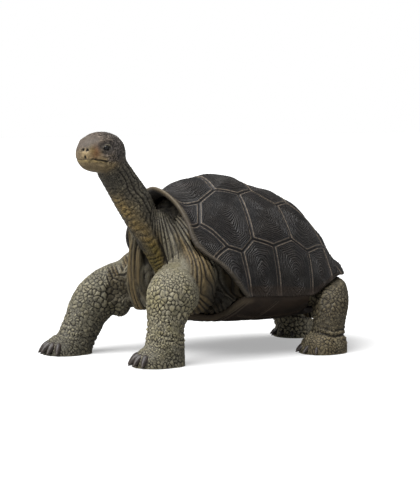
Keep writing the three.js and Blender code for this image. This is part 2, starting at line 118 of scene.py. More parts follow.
# Each plate: its corners in order, then where its growth started, as y and degrees.
PLATES = [
    ("rim_ridge rim_1 neck_top back_1 Ridge_1", (-9.5, 84.0)),
    ("rim_1 rim_2 neck_low neck_top", (-17.0, 57.0)),
    ("rim_2 rim_3 arm_low neck_low", (-15.5, 31.0)),
    ("rim_3 rim_low edge_1 side_0_low arm_low", (-5.5, 12.0)),
    ("neck_top back_1 side_1_top side_1_low side_0_low arm_low neck_low", (-3.8, 50.5)),
    ("Ridge_1 back_1 side_1_top back_2 Ridge_2", (4.5, 84.0)),
    ("side_1_top back_2 side_2_top side_2_low flank_2 side_1_low", (11.0, 49.0)),
    ("Ridge_2 back_2 side_2_top back_3 Ridge_3", (20.5, 84.0)),
    ("side_2_top back_3 side_3_top side_3_low flank_3 side_2_low", (27.5, 50.0)),
    ("Ridge_3 back_3 side_3_top back_4 Ridge_4", (35.5, 84.0)),
    ("side_3_top back_4 side_4_top flank_4 side_3_low", (41.0, 50.0)),
    ("Ridge_4 back_4 side_4_top tail_side Ridge_5", (46.5, 82.0)),
    ("side_0_low side_1_low flank_2 edge_2 edge_1", (4.0, 10.0)),
    ("flank_2 side_2_low flank_3 edge_3 edge_2", (17.0, 11.0)),
    ("flank_3 side_3_low edge_4 edge_3", (29.5, 9.0)),
    ("side_3_low flank_4 edge_5 edge_4", (39.0, 8.0)),
    ("flank_4 side_4_top tail_side edge_6 edge_5", (46.5, 8.0)),
    ("tail_side Ridge_5 tail_ridge tail_edge edge_tail edge_6", (53.0, 30.0)),
]

# Lower shell by y: half-width, height of the flat bottom, and how far its sides rise.
PLASTRON_STATIONS = np.array([
    (-14.5, 8.5, 11.8, 0.8), (-11.0, 13.0, 11.0, 1.0), (-6.5, 16.5, 10.4, 1.7),
    (-3.0, 26.4, 10.1, 8.1), (6.0, 27.5, 9.8, 8.5), (16.0, 27.0, 9.6, 8.1), (24.0, 25.5, 9.6, 7.9),
    (28.5, 16.5, 9.9, 2.4), (36.0, 14.0, 10.6, 1.2), (43.0, 11.0, 11.9, 1.0),
    (47.0, 6.5, 13.2, 0.8),
])
PLASTRON_WALL = 2.0
PLASTRON_BULGE = 0.4
BRIDGE_PLACE = 17.0  # how far to the side the seam of the bridge lies
PLASTRON_POWER = 3.0
PLASTRON_CELLS = (180, 120)
PLASTRON_LENGTH, PLASTRON_WIDTH = 61, 40  # rough sizes, to fade the relief towards the border
PLASTRON_SEAMS = (-8.5, -2.0, 9.5, 26.5, 36.5)  # y of the seams that cross the lower shell

# ---- Sizes of the flesh ----
# Each row of a path: centre x y z, half-width, radius above, radius below.
COLLAR = np.array([
    (0.0, -4.0, 31.0, 22.0, 15.0, 14.0), (0.0, -12.0, 32.0, 20.0, 14.0, 13.0),
    (0.0, -16.6, 34.0, 16.4, 12.2, 4.6), (-0.1, -19.6, 38.5, 10.4, 9.4, 3.2),
    (-0.5, -23.4, 45.0, 5.4, 5.0, 3.4),
])
NECK = np.array([
    (0.6, -17.6, 27.5, 2.6, 2.6, 2.6), (0.4, -19.4, 33.0, 3.8, 3.8, 3.8),
    (-0.3, -23.6, 41.5, 5.1, 4.9, 5.0), (-0.8, -27.2, 49.3, 6.2, 5.8, 6.0),
    (-0.9, -31.6, 56.0, 6.0, 5.2, 5.9), (-0.4, -36.2, 62.5, 5.8, 4.5, 5.8),
])
HEAD_CENTRE = np.array([0.5, -41.0, 66.1])
HEAD_YAW, HEAD_PITCH, HEAD_ROUNDNESS = 21.0, 2.0, 2.15
HEAD_STATIONS = np.array([  # along the head: half-width, crown and jaw radii
    (-8.9, 2.6, 2.8, 3.4), (-7.6, 4.5, 4.8, 5.2), (-4.0, 6.6, 6.7, 6.2), (0.0, 6.9, 7.2, 6.2),
    (3.6, 6.3, 6.5, 5.9), (6.4, 5.0, 5.1, 5.2), (8.4, 3.5, 3.0, 3.9), (9.2, 1.7, 1.1, 2.1),
])
TAIL = np.array([
    (0.4, 40.0, 20.5, 5.4, 4.6, 4.6), (1.0, 45.5, 18.6, 4.2, 3.8, 3.8),
    (1.8, 49.6, 15.2, 2.9, 2.7, 2.7), (2.4, 51.4, 11.4, 1.4, 1.3, 1.3),
])
CORE_REACH = (-9.5, 47.0)  # y of the ends of the trunk, which fills the shell
TRUNK_ROUNDNESS = 2.6
MASSES = [  # centre and half-sizes of chest, shoulders and hips
    ((17.2, -17.0, 25.0), (8.8, 9.8, 10.5)),
    ((-15.5, -16.5, 23.5), (9.0, 9.5, 9.5)),
    ((0.0, -11.4, 20.4), (17.0, 7.6, 9.2)),
    ((14.0, -15.4, 39.0), (7.5, 4.4, 12.0)),
    ((-14.0, -15.4, 39.0), (7.5, 4.4, 12.0)),
    ((0.0, -10.5, 45.5), (13.5, 5.6, 7.5)),
    ((13.5, 36.5, 22.0), (7.5, 8.5, 6.0)),
    ((-12.5, 36.5, 22.0), (7.5, 8.5, 6.0)),
    ((0.0, 44.5, 15.0), (6.0, 5.5, 7.5)),
]
DEWLAP = np.array([  # the loose skin that hangs to the right of the neck
    (-7.0, -18.6, 42.0, 4.4, 4.8, 4.8), (-7.4, -19.6, 32.0, 5.0, 5.4, 5.4),
    (-7.8, -19.8, 22.0, 4.8, 5.2, 5.2), (-7.6, -18.8, 14.5, 4.0, 4.2, 4.2),
])
ELBOW_FLAP = ((-14.5, -25.0, 16.4), (4.3, 4.1, 5.3))  # loose skin behind the right elbow
# Legs: heading of the toes in degrees from -Y towards +X, number of claws, foot's centre, path.
LEGS = {
    "front_left": (-18.0, 5, (23.2, -33.4), np.array([
        (14.0, -18.0, 25.0, 8.0, 7.6, 8.0), (18.0, -23.4, 24.0, 8.2, 7.8, 8.2),
        (20.0, -26.6, 21.0, 8.4, 8.2, 8.4), (20.8, -28.6, 16.6, 6.8, 7.0, 7.0),
        (21.6, -29.9, 12.0, 5.9, 6.0, 6.0), (22.6, -31.0, 5.5, 6.4, 6.4, 6.4),
        (23.0, -32.0, -3.0, 7.2, 7.2, 7.2)])),
    "front_right": (-4.0, 5, (-17.6, -43.0), np.array([
        (-14.0, -12.0, 23.0, 8.0, 8.5, 8.5), (-17.0, -19.8, 22.0, 7.8, 8.3, 8.0),
        (-18.5, -27.4, 19.8, 7.5, 8.0, 7.8), (-18.8, -33.2, 15.2, 7.0, 7.6, 7.2),
        (-18.2, -37.4, 8.8, 6.3, 6.5, 6.3), (-17.7, -40.6, 3.0, 6.3, 6.5, 6.3),
        (-17.4, -42.0, -3.0, 6.8, 6.8, 6.8)])),
    "hind_left": (-6.0, 4, (27.4, 28.7), np.array([
        (12.5, 38.0, 22.5, 6.0, 6.0, 6.2), (17.8, 37.4, 20.6, 6.0, 5.8, 6.3),
        (22.4, 35.0, 17.0, 6.1, 5.9, 6.2), (25.4, 32.4, 13.2, 5.9, 5.8, 5.9),
        (26.8, 30.9, 9.0, 5.5, 5.5, 5.5), (27.2, 29.9, 4.0, 6.2, 6.2, 6.2),
        (27.3, 29.5, -3.0, 7.2, 7.2, 7.2)])),
    "hind_right": (2.0, 4, (-12.0, 46.8), np.array([
        (-11.5, 34.5, 22.0, 6.0, 6.2, 6.2), (-14.2, 38.0, 19.0, 6.4, 6.6, 6.6),
        (-14.6, 42.2, 14.0, 6.6, 6.8, 6.8), (-13.4, 45.0, 8.5, 6.3, 6.4, 6.4),
        (-12.5, 46.6, 3.0, 6.5, 6.6, 6.6), (-12.3, 47.0, -3.0, 7.0, 7.0, 7.0)])),
}
FOOT_REACH = 1.6
FOOT_SIZE = (7.5, 7.1, 6.8)
CLAW_SPREAD, CLAW_FROM, CLAW_TO = 96.0, 4.6, 8.9
CLAW_HEIGHT = 2.7
HIND_CLAW = 0.78  # size of the hind claws, as a share of the front ones
TOE_RADIUS = 2.0
SOLE_HEIGHT = 0.3  # flesh lower than this is the flat of a sole
EYE_ALONG, EYE_OUT, EYE_UP = 3.9, 5.15, 1.9
EYE_FORWARD = 0.18  # how much the eyes look ahead
# Smooth dome of each shoulder, and hollow behind each foreleg: centre on the left, half-sizes.
SHOULDER_DOME = np.array([(20.0, -25.0, 28.0), (5.6, 5.2, 5.4)])
ARM_PIT = np.array([(24.0, -6.5, 22.5), (5.0, 5.0, 6.0)])
ARM_PIT_DEPTH = 3.0
PATH_STEPS = 90  # places on a path that are looked at to find the nearest
TRUNK_GAP, SKIN_GAP = 0.5, 0.35  # between the shell's inner face and the trunk, or any skin
HIDDEN_THINNING = 0.93  # share of the hidden flesh's faces that is given up
# The fan of folds is seen end on from one side: that side's directions over the ground to the right
# and nearer, the place and height of the fan's start, and its pitch and bend.
FOLD_AXES = ((0.559, 0.829), (0.829, -0.559))
FOLD_START = (-16.2, 51.8)
FOLD_PITCH, FOLD_BEND, FOLD_BEND_FROM, FOLD_BEND_REACH = 4.6, 0.028, 18.5, 14.0
UPRIGHT_PITCH = 4.8  # degrees
LEG_FOLD_LEAN, LEG_FOLD_PITCH = 0.47, 1.5
FOLD_DEPTH = 1.25
CREASE_SLOPE, CREASE_PITCH = 0.16, 1.65  # the creases of the ankles run down to the near side
NECK_CREASE_PITCH = 17.0  # degrees round the neck
NECK_RADIUS = 6.3  # of the cylinder on which the neck's cells are laid out
# Pairs of a place along a path and a value there: size of the scales of the legs, neck and crown,
# length of the neck rolled out, and angle of the throat's middle.
LEG_SCALES = np.array([
    (0.3, 0.9), (1.4, 1.4), (2.6, 2.4), (3.4, 2.1), (4.2, 1.45), (5.0, 1.3), (6.0, 1.4),
])
NECK_SCALES = np.array([(1.0, 1.6), (3.0, 1.6), (5.0, 1.15)])
CROWN_SCALES = np.array([(0.0, 1.15), (5.0, 0.95), (8.0, 0.8)])
NECK_LENGTH = np.array([
    (-1.0, -3.0), (1.0, 2.0), (2.0, 5.5), (3.0, 10.5), (4.0, 18.5), (5.4, 29.0),
])
THROAT_MIDDLE = np.array([(1.0, -22.0), (1.7, -38.0), (2.5, -64.0), (4.5, -84.0)])
THROAT_WIDTH = 34.0  # degrees
# Along and height of the mouth line, in the head's own axes.
MOUTH_LINE = np.array([
    (3.0, -2.65), (4.0, -2.45), (5.5, -2.2), (6.6, -2.1), (7.8, -1.8), (8.7, -1.9), (9.4, -2.1),
])

# ---- Light and camera ----
# Each lamp: its name, turn from the camera and rise in degrees, and how wide it looks.
LAMPS = (("key_light", -62, 60, 66), ("fill_light", 70, 30, 90))
SENSOR = 36.0
NEAREST, FURTHEST = 0.01, 20.0  # what the camera sees, in metres


# ---- Numbers ----
def spline(rows, t):
    """Uniform Catmull-Rom curve through rows, read at places t from 0 to len(rows) - 1."""
    rows = np.asarray(rows, float)
    t = np.clip(np.asarray(t, float), 0, len(rows) - 1)
    padded = np.concatenate([2 * rows[:1] - rows[1:2], rows, 2 * rows[-1:] - rows[-2:-1]])
    i = np.minimum(t.astype(int), len(rows) - 2)
    f = (t - i).reshape(t.shape + (1,) * (rows.ndim - 1))
    before, here, there, after = (padded[i + k] for k in range(4))
    leave, reach, rise = (there - before) / 2, (after - here) / 2, there - here
    return here + f * (leave + f * (3 * rise - 2 * leave - reach + f * (leave + reach - 2 * rise)))


def by_y(stations, y):
    """The sizes of stations, whose first column is y, read at y."""
    place = np.interp(y, stations[:, 0], np.arange(len(stations)))
    return np.moveaxis(spline(stations[:, 1:], place), -1, 0)


def rounded(v, n):
    """sign(v) |v|^(2/n), the rounding of a superellipse of exponent n."""
    return np.sign(v) * np.abs(v) ** (2 / n)


def smooth(low, high, v):
    """0 below low, 1 above high, and an S-curve between."""
    f = np.clip((v - low) / (high - low), 0, 1)
    return f * f * (3 - 2 * f)


def bell(v, width):
    """exp(-(v / width)^2)."""
    return np.exp(-(v / width) ** 2)


def unit(v):
    """Vectors at length 1."""
    return v / np.maximum(np.linalg.norm(v, axis=-1, keepdims=True), 1e-9)


def direction(azimuth, elevation=0.0):
    """Unit vector towards a place seen at an azimuth, in degrees from -Y towards +X."""
    a, e = math.radians(azimuth), math.radians(elevation)
    return np.array([math.sin(a) * math.cos(e), -math.cos(a) * math.cos(e), math.sin(e)])


def quarter_turn(ahead):
    """The level direction to the left of someone who faces along another level direction."""
    return np.array([-ahead[1], ahead[0], 0])


def ellipsoid_norm(points, centre, size):
    """Distance from a centre, in half-sizes: 1 on the ellipsoid's surface."""
    return np.linalg.norm((points - centre) / size, axis=1)


def blob_on_each_side(points, centre_and_size):
    """exp(-norm^2) of an ellipsoid and of its mirror image, each for the points on its own side."""
    centre, size = centre_and_size
    mirrored = centre * np.where(points[:, :1] < 0, (-1, 1, 1), (1, 1, 1))
    return bell(ellipsoid_norm(points, mirrored, size), 1.0)


def lattice_noise(points, scale, seed):
    """Smooth noise from -1 to 1: random values on a cubic lattice of the given pitch, blended by
    S-curves along each axis."""
    size = 32
    values = np.random.default_rng(seed).random((size, size, size)) * 2 - 1
    p = points / scale + 1000.0
    i = np.floor(p).astype(int)
    f = p - i
    f = f * f * (3 - 2 * f)
    total = 0.0
    for corner in np.ndindex(2, 2, 2):
        weight = np.prod(np.where(np.array(corner) == 1, f, 1 - f), axis=-1)
        x, y, z = ((i[..., k] + corner[k]) % size for k in range(3))
        total = total + weight * values[x, y, z]
    return total


def cloudy(points, scale, seed):
    """Three octaves of lattice noise, each half as large and half as strong as the last."""
    return sum(lattice_noise(points, scale / 2 ** k, seed + k) / 2 ** k for k in range(3)) / 1.75


def nearest_two(points, seeds):
    """For each point: its nearest seed, the distance to the line halfway to its second nearest
    seed, and the distance to the nearest seed."""
    nearest = np.empty(len(points), int)
    edge, reach = np.empty(len(points)), np.empty(len(points))
    squares = (seeds ** 2).sum(1)
    step = max(1, DISTANCES_AT_ONCE // len(seeds))
    for start in range(0, len(points), step):
        p = points[start:start + step]
        d = squares - 2 * p @ seeds.T
        order = np.argpartition(d, 1, axis=1)[:, :2]
        pair = np.take_along_axis(d, order, axis=1)
        order = np.where(pair[:, :1] <= pair[:, 1:], order, order[:, ::-1])
        a, b = seeds[order[:, 0]], seeds[order[:, 1]]
        edge[start:start + step] = ((p - (a + b) / 2) * unit(a - b)).sum(1)
        reach[start:start + step] = np.linalg.norm(p - a, axis=1)
        nearest[start:start + step] = order[:, 0]
    return nearest, edge, reach


def even_seeds(points, spacing, point_area, seed, rounds=7):
    """Seeds about `spacing` apart over a cloud of evenly spread points: a random choice of points,
    thinned where spacing is large, then moved again and again to the middle of their own cells."""
    chance = point_area / (spacing ** 2 * 0.87)
    seeds = points[np.random.default_rng(seed).random(len(points)) < chance]
    weight = 1 / spacing ** 2
    for _ in range(rounds):
        own = nearest_two(points, seeds)[0]
        mass = np.bincount(own, weight, len(seeds))
        kept = mass > 0
        moments = (weight[:, None] * points).T
        middle = np.stack([np.bincount(own, m, len(seeds)) for m in moments], 1)
        seeds = middle[kept] / mass[kept, None]
    return seeds


# ---- Meshes ----
def grid_faces(rows, columns, start=0):
    """Quads of a grid of rows x columns points, numbered row by row from start."""
    i = np.arange(rows * columns).reshape(rows, columns) + start
    return np.stack([i[:-1, :-1], i[:-1, 1:], i[1:, 1:], i[1:, :-1]], -1).reshape(-1, 4)


def fan(ring, tip, outward):
    """Triangles from a closed ring of points to one tip."""
    after = np.roll(ring, -1)
    tips = np.full(len(ring), tip)
    return np.stack([ring, after, tips] if outward else [after, ring, tips], -1)


def capped_rings(rows, columns):
    """Quads between closed rings of points, numbered row by row, and triangles from the first and
    the last ring to two tips that are numbered after them."""
    rings = np.arange(rows * columns).reshape(rows, columns)
    after = np.roll(rings, -1, 1)
    quads = np.stack([rings[:-1], after[:-1], after[1:], rings[1:]], -1).reshape(-1, 4)
    first, last = fan(rings[0], rings.size, False), fan(rings[-1], rings.size + 1, True)
    return quads, np.concatenate([first, last])


def tube(stations, side_axis=(1, 0, 0), rings=60, segments=60, roundness=2.0):
    """Closed tube. At each place on the curve through the stations the point is
    centre + side * half-width * cos + up * radius * sin, of a superellipse section."""
    t = np.linspace(0, len(stations) - 1, rings)
    sizes = spline(stations, t)
    _, side, up = path_axes(stations, t, side_axis)
    angle = np.linspace(0, 2 * np.pi, segments, endpoint=False)
    lift = rounded(np.sin(angle), roundness)
    across = rounded(np.cos(angle), roundness)
    radius = np.where(lift > 0, sizes[:, 4:5], sizes[:, 5:6]) * lift
    ring = sizes[:, None, :3] + side[:, None] * (sizes[:, 3:4] * across)[..., None]
    ring = ring + up[:, None] * radius[..., None]
    points = np.concatenate([ring.reshape(-1, 3), sizes[[0, -1], :3]])
    return (points, *capped_rings(rings, segments))


def path_axes(stations, t, side_axis=(1, 0, 0)):
    """Unit vectors at places t of a path: along it, to its side and up from it."""
    last = len(stations) - 1
    ahead = spline(stations, np.minimum(t + 0.02, last))
    behind = spline(stations, np.maximum(t - 0.02, 0))
    tangent = unit((ahead - behind)[:, :3])
    axis = np.array(side_axis, float)
    side = unit(axis - tangent * (tangent @ axis)[:, None])
    return tangent, side, np.cross(tangent, side)


def ball(centre, size, turn=0.0, rows=40, columns=60):
    """Closed ellipsoid: centre + sizes * (cos b cos a, cos b sin a, sin b), turned about Z."""
    b = np.linspace(-np.pi / 2, np.pi / 2, rows)[1:-1, None]
    a = np.linspace(0, 2 * np.pi, columns, endpoint=False)
    p = np.stack(np.broadcast_arrays(np.cos(b) * np.cos(a), np.cos(b) * np.sin(a), np.sin(b)), -1)
    p = np.concatenate([p.reshape(-1, 3), [(0, 0, -1), (0, 0, 1)]]) * size
    c, s = math.cos(turn), math.sin(turn)
    p = p @ np.array([(c, s, 0), (-s, c, 0), (0, 0, 1)]) + centre
    return (p, *capped_rings(rows - 2, columns))


def joined(pieces):
    """Several (points, quads, triangles) as one."""
    starts = np.cumsum([0] + [len(p[0]) for p in pieces[:-1]])
    points, quads, triangles = zip(*pieces)
    return (np.concatenate(points), np.concatenate([f + start for f, start in zip(quads, starts)]),
            np.concatenate([f + start for f, start in zip(triangles, starts)]))


def make_mesh(name, points, *faces):
    """A mesh from an array of points and arrays of triangles or quads."""
    mesh = bpy.data.meshes.new(name)
    corners = np.concatenate([f.ravel() for f in faces]).astype(np.int32)
    sides = np.concatenate([np.full(len(f), f.shape[1]) for f in faces]).astype(np.int32)
    mesh.vertices.add(len(points))
    mesh.vertices.foreach_set("co", points.astype(np.float32).ravel())
    mesh.loops.add(len(corners))
    mesh.loops.foreach_set("vertex_index", corners)
    mesh.polygons.add(len(sides))
    mesh.polygons.foreach_set("loop_start", (np.cumsum(sides) - sides).astype(np.int32))
    mesh.update(calc_edges=True)
    mesh.validate()
    return mesh


def points_of(mesh):
    """The mesh's vertices as an array."""
    co = np.empty(len(mesh.vertices) * 3, np.float32)
    mesh.vertices.foreach_get("co", co)
    return co.reshape(-1, 3).astype(float)


def corners_of(mesh):
    """Vertex number of every face corner, and the number of corners of every face."""
    corner = np.empty(len(mesh.loops), np.int32)
    mesh.loops.foreach_get("vertex_index", corner)
    sides = np.empty(len(mesh.polygons), np.int32)
    mesh.polygons.foreach_get("loop_total", sides)
    return corner, sides


def edges_of(mesh):
    """Pairs of vertex numbers, one for each edge."""
    edge = np.empty(len(mesh.edges) * 2, np.int32)
    mesh.edges.foreach_get("vertices", edge)
    return edge.reshape(-1, 2)


def normals_at(mesh, points):
    """Vertex normals of a mesh whose vertices stand at points: each face's crossed diagonals,
    summed over the faces round a vertex."""
    corner, sides = corners_of(mesh)
    start = np.cumsum(sides) - sides
    a, b, c = (points[corner[start + k]] for k in range(3))
    d = points[corner[start + sides - 1]]
    facing = np.repeat(np.cross(c - a, d - b), sides, axis=0)
    total = np.stack([np.bincount(corner, facing[:, k], len(points)) for k in range(3)], 1)
    return unit(total)


def neighbour_mean(edges, values):
    """The mean of each vertex's neighbours along the edges."""
    a, b = edges.T
    count = np.maximum(np.bincount(edges.ravel(), minlength=len(values)), 1)
    columns = values.reshape(len(values), -1).T
    mean = [np.bincount(a, c[b], len(values)) + np.bincount(b, c[a], len(values)) for c in columns]
    return (np.stack(mean, 1) / count[:, None]).reshape(values.shape)


def relaxed(edges, values, amount, rounds):
    """Values drawn towards their neighbours' mean, by amount, several times over."""
    for _ in range(rounds):
        values = values + amount * (neighbour_mean(edges, values) - values)
    return values


def with_modifier(mesh, kind, group=None, **settings):
    """A new mesh: the given one with one modifier applied, and a vertex group for it if needed."""
    helper = bpy.data.objects.new("helper", mesh)
    bpy.context.scene.collection.objects.link(helper)
    modifier = helper.modifiers.new(kind.lower(), kind)
    if group is not None:
        helper.vertex_groups.new(name="chosen").add(np.flatnonzero(group).tolist(), 1.0, "REPLACE")
        modifier.vertex_group = "chosen"
    for key, value in settings.items():
        setattr(modifier, key, value)
    shaped = helper.evaluated_get(bpy.context.evaluated_depsgraph_get())
    result = bpy.data.meshes.new_from_object(shaped)
    bpy.data.objects.remove(helper)
    return result


def add_attribute(mesh, name, values):
    """Stores one number or one colour for each vertex."""
    values = np.asarray(values, np.float32)
    kind = "FLOAT" if values.ndim == 1 else "FLOAT_COLOR"
    if values.ndim == 2:
        values = np.concatenate([values, np.ones((len(values), 1), np.float32)], 1)
    attribute = mesh.attributes.new(name, kind, "POINT")
    attribute.data.foreach_set("value" if values.ndim == 1 else "color", values.ravel())


def place_piece(name, mesh, points, material, slot, *nodes):
    """Moves a mesh to the frame, in metres, gives it its finish and puts it in place of nodes."""
    mesh.vertices.foreach_set("co", ((points + ORIGIN) * MM).astype(np.float32).ravel())
    mesh.name = name
    mesh.materials.clear()
    mesh.materials.append(material)
    mesh.polygons.foreach_set("use_smooth", np.ones(len(mesh.polygons), bool))
    mesh.update()
    piece = bpy.data.objects.new(name, mesh)
    bpy.context.scene.collection.objects.link(piece)
    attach(piece, "root")
    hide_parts(*nodes)


# ---- The flesh ----
def head_axes():
    """The head's forward, left and up directions: -Y, +X and +Z, pitched and then turned."""
    yaw, pitch = math.radians(HEAD_YAW), math.radians(HEAD_PITCH)
    c, s = math.cos(yaw), math.sin(yaw)
    turn = np.array([(c, -s, 0), (s, c, 0), (0, 0, 1)])
    c, s = math.cos(pitch), math.sin(pitch)
    tip = np.array([(1, 0, 0), (0, c, s), (0, -s, c)])
    both = turn @ tip
    return both @ (0, -1, 0), both @ (1, 0, 0), both @ (0, 0, 1)


def head_path():
    """The head's stations as rows of a path."""
    centres = HEAD_CENTRE + HEAD_STATIONS[:, :1] * head_axes()[0]
    return np.concatenate([centres, HEAD_STATIONS[:, 1:]], 1)


def toe_centre(toward, foot):
    """Centre of the toes' ellipsoid."""
    return np.array([*foot, 0.0]) + FOOT_REACH * direction(toward)


def flesh_parts():
    """Every rounded volume of the flesh, as closed surfaces cut flat at the ground."""
    head = tube(head_path(), head_axes()[1], 90, 90, HEAD_ROUNDNESS)
    parts = [tube(COLLAR, roundness=2.3), tube(NECK), head, tube(TAIL), tube(DEWLAP)]
    parts.append(tube(trunk_path(), roundness=TRUNK_ROUNDNESS))
    parts += [ball(np.array(centre), size) for centre, size in (*MASSES, ELBOW_FLAP)]
    for toward, count, foot, path in LEGS.values():
        parts += [tube(path), ball(toe_centre(toward, foot), FOOT_SIZE, math.radians(toward))]
        for root, along, _, size in claw_roots(toward, count, foot):
            toe = np.array([1, 1, 1.15]) * TOE_RADIUS * (0.5 + 0.5 * size)
            parts.append(ball(root - 0.9 * along, toe, 0.0, 20, 24))
    for points, _, _ in parts:
        points[:, 2] = np.maximum(points[:, 2], 0)
    return parts


def trunk_path():
    """The trunk's path: at each y its section fills the shell, from the lower edge of the carapace
    up and down to the inner faces of the two sheets."""
    y = np.linspace(CORE_REACH[1], CORE_REACH[0], 8)
    half, top, edge, _, _ = by_y(SHELL_STATIONS, y)
    _, bottom, _ = by_y(PLASTRON_STATIONS, y)
    inset = SHELL_WALL + TRUNK_GAP
    down = edge - bottom - PLASTRON_WALL - 0.4
    return np.stack([0 * y, y, edge, half - inset, top - inset - edge, down], 1)


def under_shell(points):
    """How points lie to the carapace: how far behind its front rim they are, how far above its
    lower edge, and squeeze, the factor that draws them in under it. It comes from r, their norm in
    the section's superellipse, which is 1 on the inner face."""
    x, y, z = points.T
    half, top, edge, n, _ = by_y(SHELL_STATIONS, y)
    inset = SHELL_WALL + SKIN_GAP
    side = np.abs(x) / np.maximum(half - inset, 1)
    rise = np.maximum(z - edge, 0) / np.maximum(top - inset - edge, 1)
    r = (side ** n + rise ** n) ** (1 / n)
    degrees = np.degrees(np.arctan2(rise ** (n / 2), side ** (n / 2)))
    behind = y - spline(FRONT_RIM, degrees / 15)
    ahead = np.maximum(0.9 - behind, 0)
    room = 0.985 + 0.12 * ahead + 0.25 * ahead ** 2
    squeeze = np.minimum(1, room / np.maximum(r, 1e-6))
    squeeze = np.where(y > REAR_TIP - 2, 1, squeeze)
    return behind, z - edge, squeeze


def over_plastron(x, y):
    """The lower shell under a place: its lowest height, how far out the place is as a share of its
    half-width, and the height of its upper face."""
    half, bottom, rise = by_y(PLASTRON_STATIONS, y)
    out = np.abs(x) / half
    return bottom, out, bottom + PLASTRON_WALL + np.minimum(out, 1) ** PLASTRON_POWER * rise


def inside_shell(points):
    """Draws points in under the carapace, and lifts them clear of the lower shell's upper face."""
    _, above, squeeze = under_shell(points)
    x, y, z = points.T
    sideways = 1 + (squeeze - 1) * smooth(-1.2, 0.4, above)
    points = np.stack([x * sideways, y, np.where(above > 0, z - above + above * squeeze, z)], 1)
    bottom, out, floor = over_plastron(points[:, 0], y)
    first, last = PLASTRON_STATIONS[[0, -1], 0]
    covers = (out < 1) & (y > first - 0.3) & (y < last + 0.3) & (points[:, 2] > bottom - 1.5)
    points[:, 2] = np.where(covers, np.maximum(points[:, 2], floor + 0.3), points[:, 2])
    return points


def place_on(stations, points, side_axis=(1, 0, 0)):
    """Where points stand round a path: t along it, the angle round it in degrees (0 at its left
    side, 90 above), and the distance out, as a share of the path's own radius there."""
    t = np.linspace(0, len(stations) - 1, PATH_STEPS)
    sizes = spline(stations, t)
    tangent, side, up = path_axes(stations, t, side_axis)
    speed = np.linalg.norm(np.gradient(sizes[:, :3], t, axis=0), axis=1)
    square = (sizes[:, :3] ** 2).sum(1) - 2 * points @ sizes[:, :3].T
    k = square.argmin(1)
    d = points - sizes[k, :3]
    t = t[k] + (d * tangent[k]).sum(1) / speed[k]
    out, above = (d * side[k]).sum(1), (d * up[k]).sum(1)
    radius = np.where(above > 0, sizes[k, 4], sizes[k, 5])
    beyond = np.maximum(np.abs((d * tangent[k]).sum(1)) - 1.0, 0) / radius
    share = np.sqrt((out / sizes[k, 3]) ** 2 + (above / radius) ** 2 + beyond ** 2)
    return t, np.degrees(np.arctan2(above, out)), share


def claw_roots(toward, count, foot):
    """For each claw: where it leaves its toe, its direction over the ground, its left side, and its
    size, which is less on the four-clawed hind feet."""
    centre = toe_centre(toward, foot)
    size = HIND_CLAW if count == 4 else 1.0
    roots = []
    for i in range(count):
        ahead = direction(toward + CLAW_SPREAD * (i / (count - 1) - 0.5))
        root = centre + CLAW_FROM * ahead + (0, 0, CLAW_HEIGHT * size)
        roots.append((root, ahead, quarter_turn(ahead), size))
    return roots


def way_to(curve, points):
    """Distance from points to the nearest of the closely spaced points of a curve."""
    square = (curve ** 2).sum(1)
    batches = np.array_split(points, 20)
    nearest = np.concatenate([(square - 2 * p @ curve.T).min(1) for p in batches])
    return np.sqrt(np.maximum(nearest + (points ** 2).sum(1), 0))


def fold_counts(points):
    """Numbers of the folds of loose skin that points lie on, in three sets, and how far from their
    start the first set's places are, and the distance to the neck. The first set is planes through
    one line behind the neck's foot, each FOLD_PITCH degrees from the next; low down they bend in
    towards the leg by the square of the way down. The second is upright planes through an axis in
    the chest, and on the right foreleg parallel planes that lean. In the third the number is
    y + |x|."""
    x, y, z = np.abs(points[:, 0]), points[:, 1], points[:, 2]
    right, near = FOLD_AXES
    down = FOLD_START[1] - (z - 0.084 * (near[0] * x + near[1] * y))
    low = np.clip(down - FOLD_BEND_FROM, 0, FOLD_BEND_REACH)
    over = right[0] * x + right[1] * y + FOLD_BEND * low ** 2 - FOLD_START[0]
    column = spline(NECK, np.linspace(0, 4, PATH_STEPS))[:, :3]
    from_neck = np.maximum(way_to(column, points) - 3.4, 0)
    upright = np.degrees(np.arctan2(x, -y - 4)) / UPRIGHT_PITCH
    leaning = (points[:, :2] @ right + LEG_FOLD_LEAN * z) / LEG_FOLD_PITCH
    upright = np.where(beside_elbow(points) > 0.5, leaning, upright)
    fan_count = np.degrees(np.arctan2(down, over)) / FOLD_PITCH
    return fan_count, np.hypot(down, over), upright, (y + x) / 1.9, from_neck


def beside_elbow(points):
    """1 on the outer side of the right foreleg's root, in front of the chest."""
    return smooth(-11.5, -13.0, points[:, 0]) * smooth(-21.0, -22.5, points[:, 1])


def ropes(phase):
    """Rounded ridges with narrow valleys: |sin(pi phase)|."""
    return np.abs(np.sin(np.pi * phase))


def zone_shares(points):
    """How much each point belongs to each part of the flesh, from 0 to 1, and where it stands on
    that part: shares fall off as exp(-14 (r - nearest r)), with r the distance out."""
    places = {"head": place_on(head_path(), points, head_axes()[1]), "neck": place_on(NECK, points),
              "collar": place_on(COLLAR, points), "tail": place_on(TAIL, points)}
    places.update({name: place_on(leg[3], points) for name, leg in LEGS.items()})
    ratio = {name: place[2] for name, place in places.items()}
    ratio["collar"] = np.minimum(ratio["collar"], place_on(DEWLAP, points)[2])
    for centre, size in (*MASSES, ELBOW_FLAP):
        owner = "front_right" if centre == ELBOW_FLAP[0] else "collar"
        ratio[owner] = np.minimum(ratio[owner], ellipsoid_norm(points, centre, size))
    table = np.stack(list(ratio.values()))
    share = np.exp(-14 * (table - table.min(0)))
    share /= share.sum(0)
    return dict(zip(ratio, share)), places


def plain(points):
    """Height, distance to a scale's edge and tone of points without scales."""
    return np.zeros(len(points)), np.full(len(points), 2.0), np.full(len(points), 0.5)


